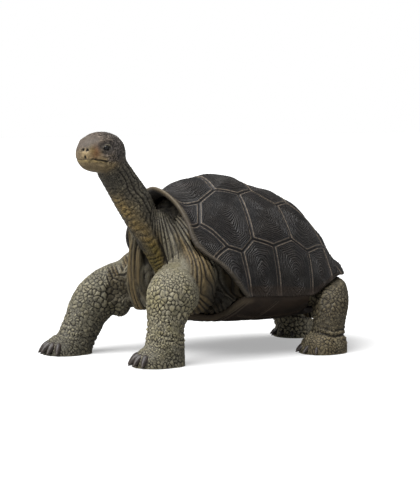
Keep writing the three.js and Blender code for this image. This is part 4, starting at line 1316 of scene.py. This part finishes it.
def closed_sheet(name, surface, along, across, outer, bulge):
    """A mesh of a closed sheet, its points, the numbers of the outer face's border points and the
    number of points in the outer face. The outer face is a fine grid, the inner one is the plain
    surface in steps INNER_STEP times coarser, and a rolled border joins them."""
    r, c = outer.shape[:2]
    loop = border_loop(r, c)
    i, j = np.divmod(loop, c)
    inner = surface(along[::INNER_STEP, None], across[None, ::INNER_STEP], 1.0)
    inward = unit(outer[np.clip(i, 1, r - 2), np.clip(j, 1, c - 2)] - outer[i, j])
    rolls = rolled_border(outer[i, j], surface(along[i], across[j], 1.0), inward, bulge)
    points = np.concatenate([outer.reshape(-1, 3), rolls.reshape(-1, 3), inner.reshape(-1, 3)])
    count = len(loop)
    rings = [loop] + [r * c + k * count + np.arange(count) for k in range(RIM_ROWS)]
    strips = [np.stack([a, np.roll(a, -1), np.roll(b, -1), b], -1)
              for a, b in zip(rings, rings[1:])]
    start = r * c + RIM_ROWS * count
    fine = rings[-1].reshape(-1, INNER_STEP)
    coarse = start + border_loop(*inner.shape[:2])
    after, turned = np.roll(coarse, -1), np.roll(rings[-1], -1).reshape(-1, INNER_STEP)
    half = INNER_STEP // 2
    zips = [np.stack([fine[:, k], turned[:, k], coarse if k < half else after], -1)
            for k in range(INNER_STEP)]
    zips.append(np.stack([fine[:, half], after, coarse], -1))
    inner_quads = grid_faces(*inner.shape[:2], start)
    quads = np.concatenate([grid_faces(r, c)[:, ::-1], *strips, inner_quads])
    return make_mesh(name, points, quads, np.concatenate(zips)), points, loop, r * c


def face_normals(grid):
    """Outward normals of a grid of points, from its two directions."""
    return unit(np.cross(np.gradient(grid, axis=0), np.gradient(grid, axis=1)))


def build_carapace(settings):
    """The outer face is raised along its normals by relief: plates that swell from their seams, a
    ridge each side of a seam and a groove in it, growth rings as a sine of the growth, and slow
    unevenness. The inner face is plain."""
    rows, columns = SHELL_CELLS
    sides, lengths = np.linspace(0.02, 0.5, 9), np.linspace(0.1, 0.6, 9)
    along = even_places(lambda f: shell_point(f[:, None], sides[None, :]), rows)
    across = even_places(lambda f: shell_point(lengths[None, :], f[:, None]), columns)
    outer = shell_point(along[:, None], across[None, :])
    degrees = np.broadcast_to(across * 180, outer.shape[:2])
    flat = np.stack([outer[..., 1], degrees], -1).reshape(-1, 2)
    plates, seams = plate_outlines()
    skin = outer.reshape(-1, 3)
    seam = seam_distance(skin, seams)
    growth = growth_rings(flat, skin, seam, plates)
    from_rim = np.linalg.norm(outer - outer[:1], axis=-1)
    low = np.minimum(degrees, 180 - degrees)
    swell = settings.plate_swell * (smooth(0.0, 5.0, seam) - 0.55)
    ridge = settings.seam_height * bell(seam - settings.seam_half_width, 0.22)
    groove = -1.5 * settings.seam_height * bell(seam, 0.3)
    swayed = growth + 0.5 * lattice_noise(skin, 4.0, SEED)
    rings = settings.ring_height * np.sin(2 * np.pi * swayed / RING_PITCH)
    rings = rings * smooth(0.8, 1.6, seam) * (0.7 + 0.5 * lattice_noise(skin, 6.0, SEED + 1))
    relief = swell + ridge + groove + rings + 0.22 * cloudy(skin, 9.0, SEED + 2)
    relief = relief.reshape(outer.shape[:2]) * smooth(0.0, 2.4, from_rim) * smooth(0.0, 3.0, low)
    outer = outer + face_normals(outer) * relief[..., None]
    mesh, points, loop, count = closed_sheet(
        "carapace_shell", shell_point, along, across, outer, RIM_BULGE)
    front = loop <= columns
    turned_in = -0.5 * np.arange(RIM_ROWS)[:, None]
    band = smooth(7.0, 4.0, low) * smooth(1.0, 4.0, from_rim)
    attributes = {
        "seam": (seam, np.maximum(seam[loop], 1.5), 9.0),
        "growth": (growth, growth[loop], 0.0),
        "rim": (from_rim, np.where(front, turned_in, 9.0), -2.0),
        "band": (band, np.where(front, 0.0, 1.0), 0.0),
    }
    for name, (face, border, inside) in attributes.items():
        border = np.broadcast_to(border, (RIM_ROWS, len(loop))).ravel()
        inner = np.full(len(points) - count - len(border), inside)
        add_attribute(mesh, name, np.concatenate([face.ravel(), border, inner]))
    # How strongly the rim's tan shows: most near the top of the shell.
    wear = bell(points[:, 2] - RIM_PALE_HEIGHT, RIM_PALE_REACH)
    add_attribute(mesh, "wear", RIM_PALE_LEAST + (1 - RIM_PALE_LEAST) * wear)
    place_piece("carapace_shell", mesh, points, shell_material(), "shell", "carapace")


def plastron_point(along, across, inner=0.0):
    """A point of the lower shell: x is half-width * s and z is bottom + rise * |s|^3, with s from
    -1 to 1; inner goes 0 to 1 through the wall. The sides end under the carapace's edge."""
    first, last = PLASTRON_STATIONS[[0, -1], 0]
    y = first + (last - first) * along
    half, bottom, rise = by_y(PLASTRON_STATIONS, y)
    s = 1 - 2 * across
    z = bottom + rise * np.abs(s) ** PLASTRON_POWER + PLASTRON_WALL * inner
    shell_half, _, shell_edge, _, _ = by_y(SHELL_STATIONS, y)
    near = smooth(3.5, 2.0, shell_half - half * np.abs(s))
    ceiling = shell_edge + 0.5 + 0.3 * inner
    z = np.where(near > 0, np.minimum(z, ceiling), z)
    return np.stack([(half - RIM_BULGE) * s, y + 0 * s, z], -1)


def build_plastron(settings):
    """The outer face has ridges and grooves along its seams, as the carapace has: one seam down the
    middle, one along each bridge and some across, all swayed by slow waves."""
    rows, columns = PLASTRON_CELLS
    along, across = np.linspace(0, 1, rows + 1), np.linspace(1, 0, columns + 1)
    outer = plastron_point(along[:, None], across[None, :])
    x, y, _ = np.moveaxis(outer, -1, 0)
    middle = np.abs(x - 0.35 * np.sin(y / 3.0))
    bridge = np.abs(np.abs(x) - BRIDGE_PLACE - 0.05 * (y - 12) ** 2 / 3)
    bridge = bridge + 50 * smooth(27, 29, y) + 50 * smooth(-1, -3, y)
    seam = np.minimum(middle, bridge)
    for place in PLASTRON_SEAMS:
        seam = np.minimum(seam, np.abs(y - place - 1.6 * np.cos(x / 5.5)))
    relief = settings.seam_height * (bell(seam - 0.6, 0.28) - 1.2 * bell(seam, 0.3))
    relief = relief + 0.3 * smooth(0, 4, seam)
    relief = relief + 0.18 * cloudy(outer.reshape(-1, 3), 8.0, SEED + 3).reshape(seam.shape) - 0.25
    edge = np.minimum(along, 1 - along)[:, None] * PLASTRON_LENGTH
    edge = np.minimum(edge, np.minimum(across, 1 - across) * PLASTRON_WIDTH)
    outer = outer + face_normals(outer) * (relief * smooth(0, 2, edge))[..., None]
    mesh, points, loop, count = closed_sheet(
        "plastron_shell", plastron_point, along, across, outer, PLASTRON_BULGE)
    add_attribute(mesh, "seam", np.concatenate([seam.ravel(), np.full(len(points) - count, 9.0)]))
    border = points[loop]
    add_attribute(mesh, "rim", way_to(border[border[:, 1] < -1.0], points))
    place_piece("plastron_shell", mesh, points, belly_material(), "belly_shell", "plastron")


# ---- Claws and eyes ----
def claw_surface(root, ahead, left, size, settings):
    """One claw. Along its length f its centre goes out and curves down by f^1.7, its radius falls
    as (1 - 0.86 f^1.7), fine ridges run along it and a low keel along the top. Returns points with
    their faces, f and the streaks."""
    rows, columns = 18, 20
    f = np.linspace(-0.25, 1, rows)[:, None]
    a = np.linspace(0, 2 * np.pi, columns, endpoint=False)[None, :]
    up = np.array([0, 0, 1])
    reach, drop = CLAW_TO - CLAW_FROM, CLAW_HEIGHT * size - 0.55
    centre = root + ahead * (reach * (f - 0.12 * f ** 2))[..., None]
    centre = centre - up * (drop * np.maximum(f, 0) ** 1.7)[..., None]
    radius = settings.claw_radius * size * (1 - np.clip(f, 0, 1) ** 1.7 * 0.86)
    ridges = 1 + 0.05 * np.cos(7 * a) * smooth(0.0, 0.3, f)
    keel = 1 + 0.12 * bell(a - np.pi / 2, 0.5)
    side = (radius * ridges * np.cos(a))[..., None] * left
    lift = (radius * 1.05 * ridges * keel * np.sin(a))[..., None] * (up + 0.35 * ahead)
    ring = (centre + side + lift).reshape(-1, 3)
    points = np.concatenate([ring, [centre[0, 0], centre[-1, 0] + 0.12 * ahead]])
    points[:, 2] = np.maximum(points[:, 2], 0.02)
    along = np.append(f + 0 * a, [0, 1])
    streak = np.append(0.5 + 0.5 * np.cos(7 * a) + 0 * f, [0, 0])
    return (points, *capped_rings(rows, columns)), along, streak


def build_claws(settings):
    """The claws of each foot are one piece."""
    for name, (toward, count, foot, _) in LEGS.items():
        made = [claw_surface(*root, settings) for root in claw_roots(toward, count, foot)]
        points, quads, triangles = joined([m[0] for m in made])
        mesh = make_mesh(f"{name}_claws", points, quads, triangles)
        add_attribute(mesh, "tip", np.concatenate([m[1] for m in made]))
        add_attribute(mesh, "streak", np.concatenate([m[2] for m in made]))
        nodes = [f"{name}_claw_{i + 1}" for i in range(count)]
        place_piece(f"{name}_claws", mesh, points, claw_material(), "claw", *nodes)


def build_eyes(settings):
    """Each eye is a ball whose outer side swells as a cornea: radius * (1 + swell * bell of the
    angle from the line of sight)."""
    forward, left, up = head_axes()
    for name, side in (("eye_left", 1), ("eye_right", -1)):
        points, quads, triangles = ball(np.zeros(3), np.ones(3), 0.0, 34, 48)
        sight = unit(side * left + EYE_FORWARD * forward)
        away = np.degrees(np.arccos(np.clip(points @ sight, -1, 1)))
        points = points * (settings.eye_radius * (1 + 0.06 * bell(away, 32)))[:, None]
        centre = HEAD_CENTRE + forward * EYE_ALONG + left * side * EYE_OUT + up * EYE_UP
        points = points + centre
        mesh = make_mesh(f"{name}_ball", points, quads, triangles)
        add_attribute(mesh, "iris", away / 60)
        place_piece(f"{name}_ball", mesh, points, eye_material(), "eye", name)


# ---- The skin ----
FLESH_NODES = ["trunk", "neck", "head", "tail"] + [
    f"{leg}_{part}" for leg in LEGS for part in ("upper_leg", "lower_leg", "foot")
]


def build_skin(settings):
    """The flesh's volumes are fused on a grid of small cells, thinned where the shell hides them,
    softened where they meet, and then given relief along the normals from the fields above."""
    points, quads, triangles = joined(flesh_parts())
    fused = with_modifier(make_mesh("flesh", points, quads, triangles), "REMESH", mode="VOXEL",
                          voxel_size=settings.cell, use_smooth_shade=True)
    points = inside_shell(points_of(fused))
    fused.vertices.foreach_set("co", points.astype(np.float32).ravel())
    fused.update()
    hidden = hidden_flesh(points)
    mesh = with_modifier(fused, "DECIMATE", hidden, ratio=1 - HIDDEN_THINNING * hidden.mean(),
                         vertex_group_factor=1.0)
    points = points_of(mesh)
    edges = edges_of(mesh)
    soft = settings.blend * np.ones(len(points))
    sole = points[:, 2] < SOLE_HEIGHT
    soft[sole] = 0
    points = relaxed(edges, points, soft[:, None], settings.blend_rounds)
    points[:, 2] = np.where(sole, 0.0, points[:, 2])
    shares, places = zone_shares(points)
    normals = normals_at(mesh, points)
    area = settings.cell ** 2
    scales, outline, tone = leg_scales(points, shares, places, area)
    wrinkles, neck_outline, neck_tone = neck_wrinkles(points, shares, places, area)
    folds, folded, streak, valley = skin_folds(points, shares, places)
    face, masks = head_relief(points, shares)
    ankles = ankle_creases(points, shares, places)
    pebbles, pebble_outline, pebble_tone = crown_scales(points, shares, masks, area)
    tone = tone + (neck_tone - 0.5) * shares["neck"] + 1.2 * (pebble_tone - 0.5) * shares["head"]
    height = scales + wrinkles * (1 - 0.6 * folded) + folds + face + ankles + pebbles - 0.08
    height = np.where(sole, 0, height)
    before = points
    points = points + normals * height[:, None]
    points[:, 2] = np.where(sole, 0, np.maximum(points[:, 2], 0))
    hollow = ((relaxed(edges, points, 1.0, 3) - points) * normals).sum(1)
    hollow += 0.6 * ((relaxed(edges, points, 1.0, 14) - points) * normals).sum(1)
    hollow -= 0.6 * ((relaxed(edges, before, 1.0, 14) - before) * normals).sum(1)
    outline = np.minimum(np.minimum(outline, neck_outline + 0.3 * folded), pebble_outline)
    paint = skin_paint(points, shares, places, (folded, streak, valley), masks, tone)
    add_attribute(mesh, "paint", paint)
    add_attribute(mesh, "hollow", hollow)
    add_attribute(mesh, "outline", outline)
    mesh.vertices.foreach_set("co", points.astype(np.float32).ravel())
    mesh.update()
    triangles = len(mesh.loops) - 2 * len(mesh.polygons)
    mesh = with_modifier(mesh, "DECIMATE", ratio=min(1.0, MOST_TRIANGLES / triangles))
    place_piece("skin", mesh, points_of(mesh), skin_material(), "skin", *FLESH_NODES)


def hidden_flesh(points):
    """Flesh that nothing shows: well behind the carapace's front rim and above its lower edge, on
    the lower shell's upper face, or on the flat of a sole."""
    x, y, z = points.T
    behind, above, _ = under_shell(points)
    bottom, out, floor = over_plastron(x, y)
    covered = (behind > 4.5) & (above > 1.5) & (y < 46)
    lying = (z < floor + 1.2) & (z > bottom) & (out < 0.86) & (y > -11) & (y < 44)
    bridged = (y > 1) & (y < 22) & (above > -6)
    return covered | lying | bridged | (z < 0.05)


def ankle_creases(points, shares, places):
    """Nearly level creases over the ankle: ropes along the leg, where a smooth mask lets them
    through, and on the hind legs a roll of skin between two grooves."""
    height = np.zeros(len(points))
    for name in LEGS:
        t = places[name][0]
        mask = bell(t - 4.6, 0.45) * (0.6 + 0.5 * lattice_noise(points, 6.0, SEED + 70))
        level = points[:, 2] + CREASE_SLOPE * (points[:, :2] - LEGS[name][2]) @ FOLD_AXES[0]
        phase = level / CREASE_PITCH + 0.6 * lattice_noise(points, 4.0, SEED + 71)
        height += shares[name] * np.clip(mask, 0, 1) * 0.6 * (ropes(phase) ** 0.6 - 0.75)
        if name.startswith("hind"):
            level = level + 0.7 * lattice_noise(points, 7.0, SEED + 72)
            roll = 0.5 * bell(level - 4.0, 2.4) - 0.45 * bell(level - 7.0, 0.55)
            height += shares[name] * (roll - 0.2 * bell(level - 8.8, 0.5))
    return height


def crown_scales(points, shares, masks, point_area):
    """Small scales on the head behind the beak: flat cells with fine gaps."""
    own = np.flatnonzero(shares["head"] > 0.3)
    spacing = np.interp(masks["along"][own], *CROWN_SCALES.T)
    seeds = even_seeds(points[own], spacing, point_area, SEED + 80)
    cell, edge, _ = nearest_two(points[own], seeds)
    height, outline, tone = plain(points)
    tone[own] = np.random.default_rng(SEED + 81).random(len(seeds))[cell]
    tone[own] -= (tone[own] - 0.5) * 0.7 * smooth(5.0, 6.5, masks["along"][own])
    fade = shares["head"][own] * smooth(5.2, 3.6, masks["along"][own]) * (1 - masks["socket"][own])
    fade = fade * smooth(-4.5, -2.0, masks["high"][own])
    height[own] = fade * 0.12 * (smooth(0, 0.35, edge) - 0.75)
    outline[own] = edge + 0.7 * (1 - fade) - 0.02
    return height, outline, tone


# ---- The stage ----
def look_at(thing, place, target):
    """Puts a light or camera at a place, in metres, facing a target."""
    thing.location = place
    thing.rotation_euler = mathutils.Vector(target - place).to_track_quat("-Z", "Y").to_euler()


def place_thing(name, data):
    """Puts a floor, light or camera into the scene."""
    thing = bpy.data.objects.new(name, data)
    bpy.context.scene.collection.objects.link(thing)
    return thing


def build_stage(settings):
    """A broad pale floor, an even white surround, a large soft key light from the camera's left, a
    weaker one from its right, and the camera."""
    scene = bpy.context.scene
    corners = settings.floor_size / 2 * np.array([(-1, -1, 0), (1, -1, 0), (1, 1, 0), (-1, 1, 0.0)])
    floor = place_thing("floor", make_mesh("floor", corners, np.array([[0, 1, 2, 3]])))
    paper = Finish("pale_paper", 0.9, 0.0)
    seen = paper.add("ShaderNodeLightPath").outputs["Is Camera Ray"]
    shade = paper.mix(seen, settings.floor_bounce, settings.floor_colour)
    paper.shader.inputs["Emission Color"].default_value = (1, 1, 1, 1)
    glow = paper.times(seen, settings.floor_glow)
    floor.data.materials.append(paper.finish(shade, glow=glow))
    world = bpy.data.worlds.new("studio")
    world.use_nodes = True
    nodes, links = world.node_tree.nodes, world.node_tree.links
    nodes["Background"].inputs["Color"].default_value = (1, 1, 1, 1)
    rays, glow = nodes.new("ShaderNodeLightPath"), nodes.new("ShaderNodeMapRange")
    glow.inputs["To Min"].default_value = settings.surround
    glow.inputs["To Max"].default_value = 1.0
    links.new(rays.outputs["Is Camera Ray"], glow.inputs["Value"])
    links.new(glow.outputs["Result"], nodes["Background"].inputs["Strength"])
    scene.world = world
    aim = np.array([ORIGIN[0], ORIGIN[1], settings.aim_height]) * MM
    aim = aim + quarter_turn(direction(settings.azimuth)) * settings.aim_right * MM
    powers = (settings.key_power, settings.fill_power)
    for (name, turn, rise, spread), power in zip(LAMPS, powers):
        lamp = bpy.data.lights.new(name, "SUN")
        lamp.energy, lamp.angle = power, math.radians(spread)
        look_at(place_thing(name, lamp), aim + direction(settings.azimuth + turn, rise), aim)
    lens = bpy.data.cameras.new("camera")
    lens.lens = settings.lens
    lens.sensor_width = lens.sensor_height = SENSOR
    lens.clip_start, lens.clip_end = NEAREST, FURTHEST
    scene.camera = place_thing("camera", lens)
    view = direction(settings.azimuth, settings.elevation)
    look_at(scene.camera, aim + view * settings.distance, aim)
    scene.view_settings.view_transform = "Standard"


# ---- Settings ----
def number(name, description, default, **more):
    """A number that a user can set."""
    return bpy.props.FloatProperty(name=name, description=description, default=default, **more)


def size_in_mm(name, description, default, low=0.0, high=100.0):
    """A length in millimetres."""
    return number(name, f"{description}, in mm", default, min=low, max=high)


def colour_of_light(name, description, default):
    """A colour, given as linear red, green and blue."""
    return bpy.props.FloatVectorProperty(name=name, description=description, default=default,
                                         size=3, min=0.0, max=1.0, subtype="COLOR")


def coat(name, description, default):
    """A colour, given as sRGB from 0 to 255."""
    return colour_of_light(name, description, tuple(linear(default)))


class TortoisePaints(bpy.types.PropertyGroup):
    """The paints of the figure."""

    khaki: coat("Khaki", "Front legs", (116, 112, 97))
    stone: coat("Stone", "Greyer patches of the skin and pale lids", (124, 120, 108))
    rope: coat("Rope", "Folds of loose skin", (76, 71, 59))
    olive: coat("Olive", "Yellower patches of the legs", (104, 98, 66))
    bark: coat("Bark", "Hind legs and tail", (64, 57, 44))
    ochre: coat("Ochre", "Some folds of loose skin", (90, 78, 56))
    # A greyer coat that is also painted shade on the right foreleg and low on the front feet.
    lead_and_shade: coat("Lead", "Greyer skin of the right foreleg and the feet", (78, 76, 68))
    slate: coat("Slate", "Neck", (77, 74, 67))
    shadow: coat("Shadow", "Nape", (58, 57, 54))
    throat: coat("Throat", "Bands of the throat", (138, 118, 76))
    moss: coat("Moss", "Foot of the throat and a stripe on the beak", (96, 86, 46))
    crown: coat("Crown", "Top of the head", (94, 85, 78))
    storm: coat("Storm", "Back of the head and round the eyes", (60, 60, 63))
    jaw: coat("Jaw", "Underside of the jaw", (128, 114, 88))
    beak: coat("Beak", "Beak", (150, 133, 104))
    amber: coat("Amber", "Patch in front of the eyes", (152, 106, 70))
    straw: coat("Straw", "Below the line of the mouth", (158, 141, 98))
    # Dark paint of the mouth, nostrils, eye rims and deep folds, also used as painted shade behind
    # the forelegs, under the brows and in the cavity under the shell's front.
    ink_and_shade: coat("Ink", "Mouth, nostrils, eye rims and deep folds", (20, 16, 13))
    wash: coat("Wash", "Dark wash in the hollows of the skin", (30, 26, 20))
    shell_dark: coat("Shell", "Plates of the shell", (34, 32, 31))
    shell_cool: coat("Cool bloom", "Cooler patches of the shell", (36, 37, 39))
    shell_purple: coat("Purple bloom", "Purple patches of the shell", (46, 41, 43))
    shell_deep: coat("Seam groove", "Bottom of the seams", (26, 22, 19))
    shell_dust: coat("Dust", "Dry-brushing on the growth rings", (92, 86, 80))
    shell_brown: coat("Lower band", "Lower band of the shell", (56, 46, 38))
    seam_pale: coat("Seam ridge", "Ridges beside the seams", (132, 119, 104))
    rim_tan: coat("Rim", "Front rim of the shell", (116, 104, 84))
    belly_dark: coat("Belly", "Lower shell", (44, 37, 31))
    claw_dark: coat("Claw root", "Root of the claws", (34, 28, 25))
    claw_brown: coat("Claw", "Claws", (50, 42, 38))
    claw_pale: coat("Claw streaks", "Streaks and tips of the claws", (90, 80, 72))
    iris: coat("Iris", "Iris of the eyes", (16, 13, 12))
    pupil: coat("Pupil", "Pupil and rim of the eyes", (5, 5, 6))


class TortoiseShellSettings(bpy.types.PropertyGroup):
    """Relief of the upper and lower shell."""

    seam_height: size_in_mm("Seam height", "Height of the ridges beside a seam", 0.26, high=1.0)
    seam_half_width: size_in_mm("Seam half-width", "From a seam to its ridges", 0.68, high=2.0)
    plate_swell: size_in_mm("Plate swell", "How far a plate's middle stands out", 0.55, high=2.0)
    ring_height: size_in_mm("Ring height", "Height of the growth rings", 0.12, high=0.5)


class TortoiseSkinSettings(bpy.types.PropertyGroup):
    """Fusing of the flesh."""

    cell: size_in_mm("Cell", "Size of the grid cells on which the flesh is fused", 0.31, 0.2, 2.0)
    blend: number("Softening", "How strongly junctions are softened", 0.6, min=0.0, max=1.0,
                  subtype="FACTOR")
    blend_rounds: bpy.props.IntProperty(name="Softening rounds", default=24, min=0, max=100,
                                        description="How often they are softened")


class TortoiseClawSettings(bpy.types.PropertyGroup):
    """Size of the claws."""

    claw_radius: size_in_mm("Claw radius", "Radius of a claw at its root", 1.45, high=3.0)


class TortoiseEyeSettings(bpy.types.PropertyGroup):
    """Size of the eyes."""

    eye_radius: size_in_mm("Eye radius", "Radius of an eyeball", 0.95, high=3.0)


class TortoiseStageSettings(bpy.types.PropertyGroup):
    """Floor, lights and camera."""

    floor_size: number("Floor size", "Side of the floor", 6.0, min=0.5, unit="LENGTH")
    floor_colour: colour_of_light("Floor colour", "Colour of the floor", (0.6, 0.6, 0.6))
    floor_glow: number("Floor glow", "How far its shadows are lifted", 0.35, min=0.0, max=1.0)
    floor_bounce: colour_of_light("Floor bounce", "Colour the floor throws back", (0.3, 0.3, 0.3))
    surround: number("Surround", "Brightness of the light from all round", 0.3, min=0.0)
    key_power: number("Key light", "Strength of the key light", 5.2, min=0.0)
    fill_power: number("Fill light", "Strength of the fill light", 0.3, min=0.0)
    azimuth: number("Azimuth", "Camera's turn round the figure, in degrees", 56.0)
    elevation: number("Elevation", "Camera's rise, in degrees", 4.8)
    distance: number("Distance", "From the camera to its target", 0.6, min=0.05, unit="LENGTH")
    lens: number("Lens", "Focal length", 128.57, min=10.0, unit="CAMERA")
    aim_height: size_in_mm("Aim height", "Height of the camera's target", 32.7)
    aim_right: size_in_mm("Aim offset", "How far right of the figure's axes the target is", 1.2)


# ---- Operators and panel ----
class TORTOISE_OT_carapace(bpy.types.Operator):
    """Build the carapace, with its plates, seams and growth rings"""

    bl_idname = "tortoise.carapace"
    bl_label = "Carapace"

    def execute(self, context):
        build_carapace(context.scene.tortoise_shell)
        return {"FINISHED"}


class TORTOISE_OT_plastron(bpy.types.Operator):
    """Build the lower shell"""

    bl_idname = "tortoise.plastron"
    bl_label = "Plastron"

    def execute(self, context):
        build_plastron(context.scene.tortoise_shell)
        return {"FINISHED"}


class TORTOISE_OT_skin(bpy.types.Operator):
    """Build the skin of head, neck, trunk, legs and tail as one surface"""

    bl_idname = "tortoise.skin"
    bl_label = "Skin"

    def execute(self, context):
        build_skin(context.scene.tortoise_skin)
        return {"FINISHED"}


class TORTOISE_OT_claws(bpy.types.Operator):
    """Build the claws of the four feet"""

    bl_idname = "tortoise.claws"
    bl_label = "Claws"

    def execute(self, context):
        build_claws(context.scene.tortoise_claws)
        return {"FINISHED"}


class TORTOISE_OT_eyes(bpy.types.Operator):
    """Build the eyes"""

    bl_idname = "tortoise.eyes"
    bl_label = "Eyes"

    def execute(self, context):
        build_eyes(context.scene.tortoise_eyes)
        return {"FINISHED"}


class TORTOISE_OT_stage(bpy.types.Operator):
    """Set up the floor, the lights and the camera"""

    bl_idname = "tortoise.stage"
    bl_label = "Stage"

    def execute(self, context):
        build_stage(context.scene.tortoise_stage)
        return {"FINISHED"}


OPERATORS = (TORTOISE_OT_carapace, TORTOISE_OT_plastron, TORTOISE_OT_skin, TORTOISE_OT_claws,
             TORTOISE_OT_eyes, TORTOISE_OT_stage)
SETTINGS = {
    "tortoise_paints": TortoisePaints, "tortoise_shell": TortoiseShellSettings,
    "tortoise_skin": TortoiseSkinSettings, "tortoise_claws": TortoiseClawSettings,
    "tortoise_eyes": TortoiseEyeSettings, "tortoise_stage": TortoiseStageSettings,
}


class TORTOISE_PT_parts(bpy.types.Panel):
    """Lists the parts of the figure and their settings"""

    bl_label = "Toy Tortoise"
    bl_space_type = "VIEW_3D"
    bl_region_type = "UI"
    bl_category = "Tortoise"

    def draw(self, context):
        for operator in OPERATORS:
            self.layout.operator(operator.bl_idname)
        for name, group in SETTINGS.items():
            box = self.layout.box()
            box.label(text=group.__doc__)
            for key in group.__annotations__:
                box.prop(getattr(context.scene, name), key)


def register():
    """Registers the settings, the operators and the panel."""
    for cls in (*SETTINGS.values(), *OPERATORS, TORTOISE_PT_parts):
        bpy.utils.register_class(cls)
    for name, group in SETTINGS.items():
        setattr(bpy.types.Scene, name, bpy.props.PointerProperty(type=group))


def unregister():
    """Takes them away again."""
    for name in SETTINGS:
        delattr(bpy.types.Scene, name)
    for cls in reversed((*SETTINGS.values(), *OPERATORS, TORTOISE_PT_parts)):
        bpy.utils.unregister_class(cls)


def main():
    """Builds every piece round the frame."""
    register()
    for build in (bpy.ops.tortoise.carapace, bpy.ops.tortoise.plastron, bpy.ops.tortoise.skin,
                  bpy.ops.tortoise.claws, bpy.ops.tortoise.eyes, bpy.ops.tortoise.stage):
        build()


if __name__ == "__main__":
    main()
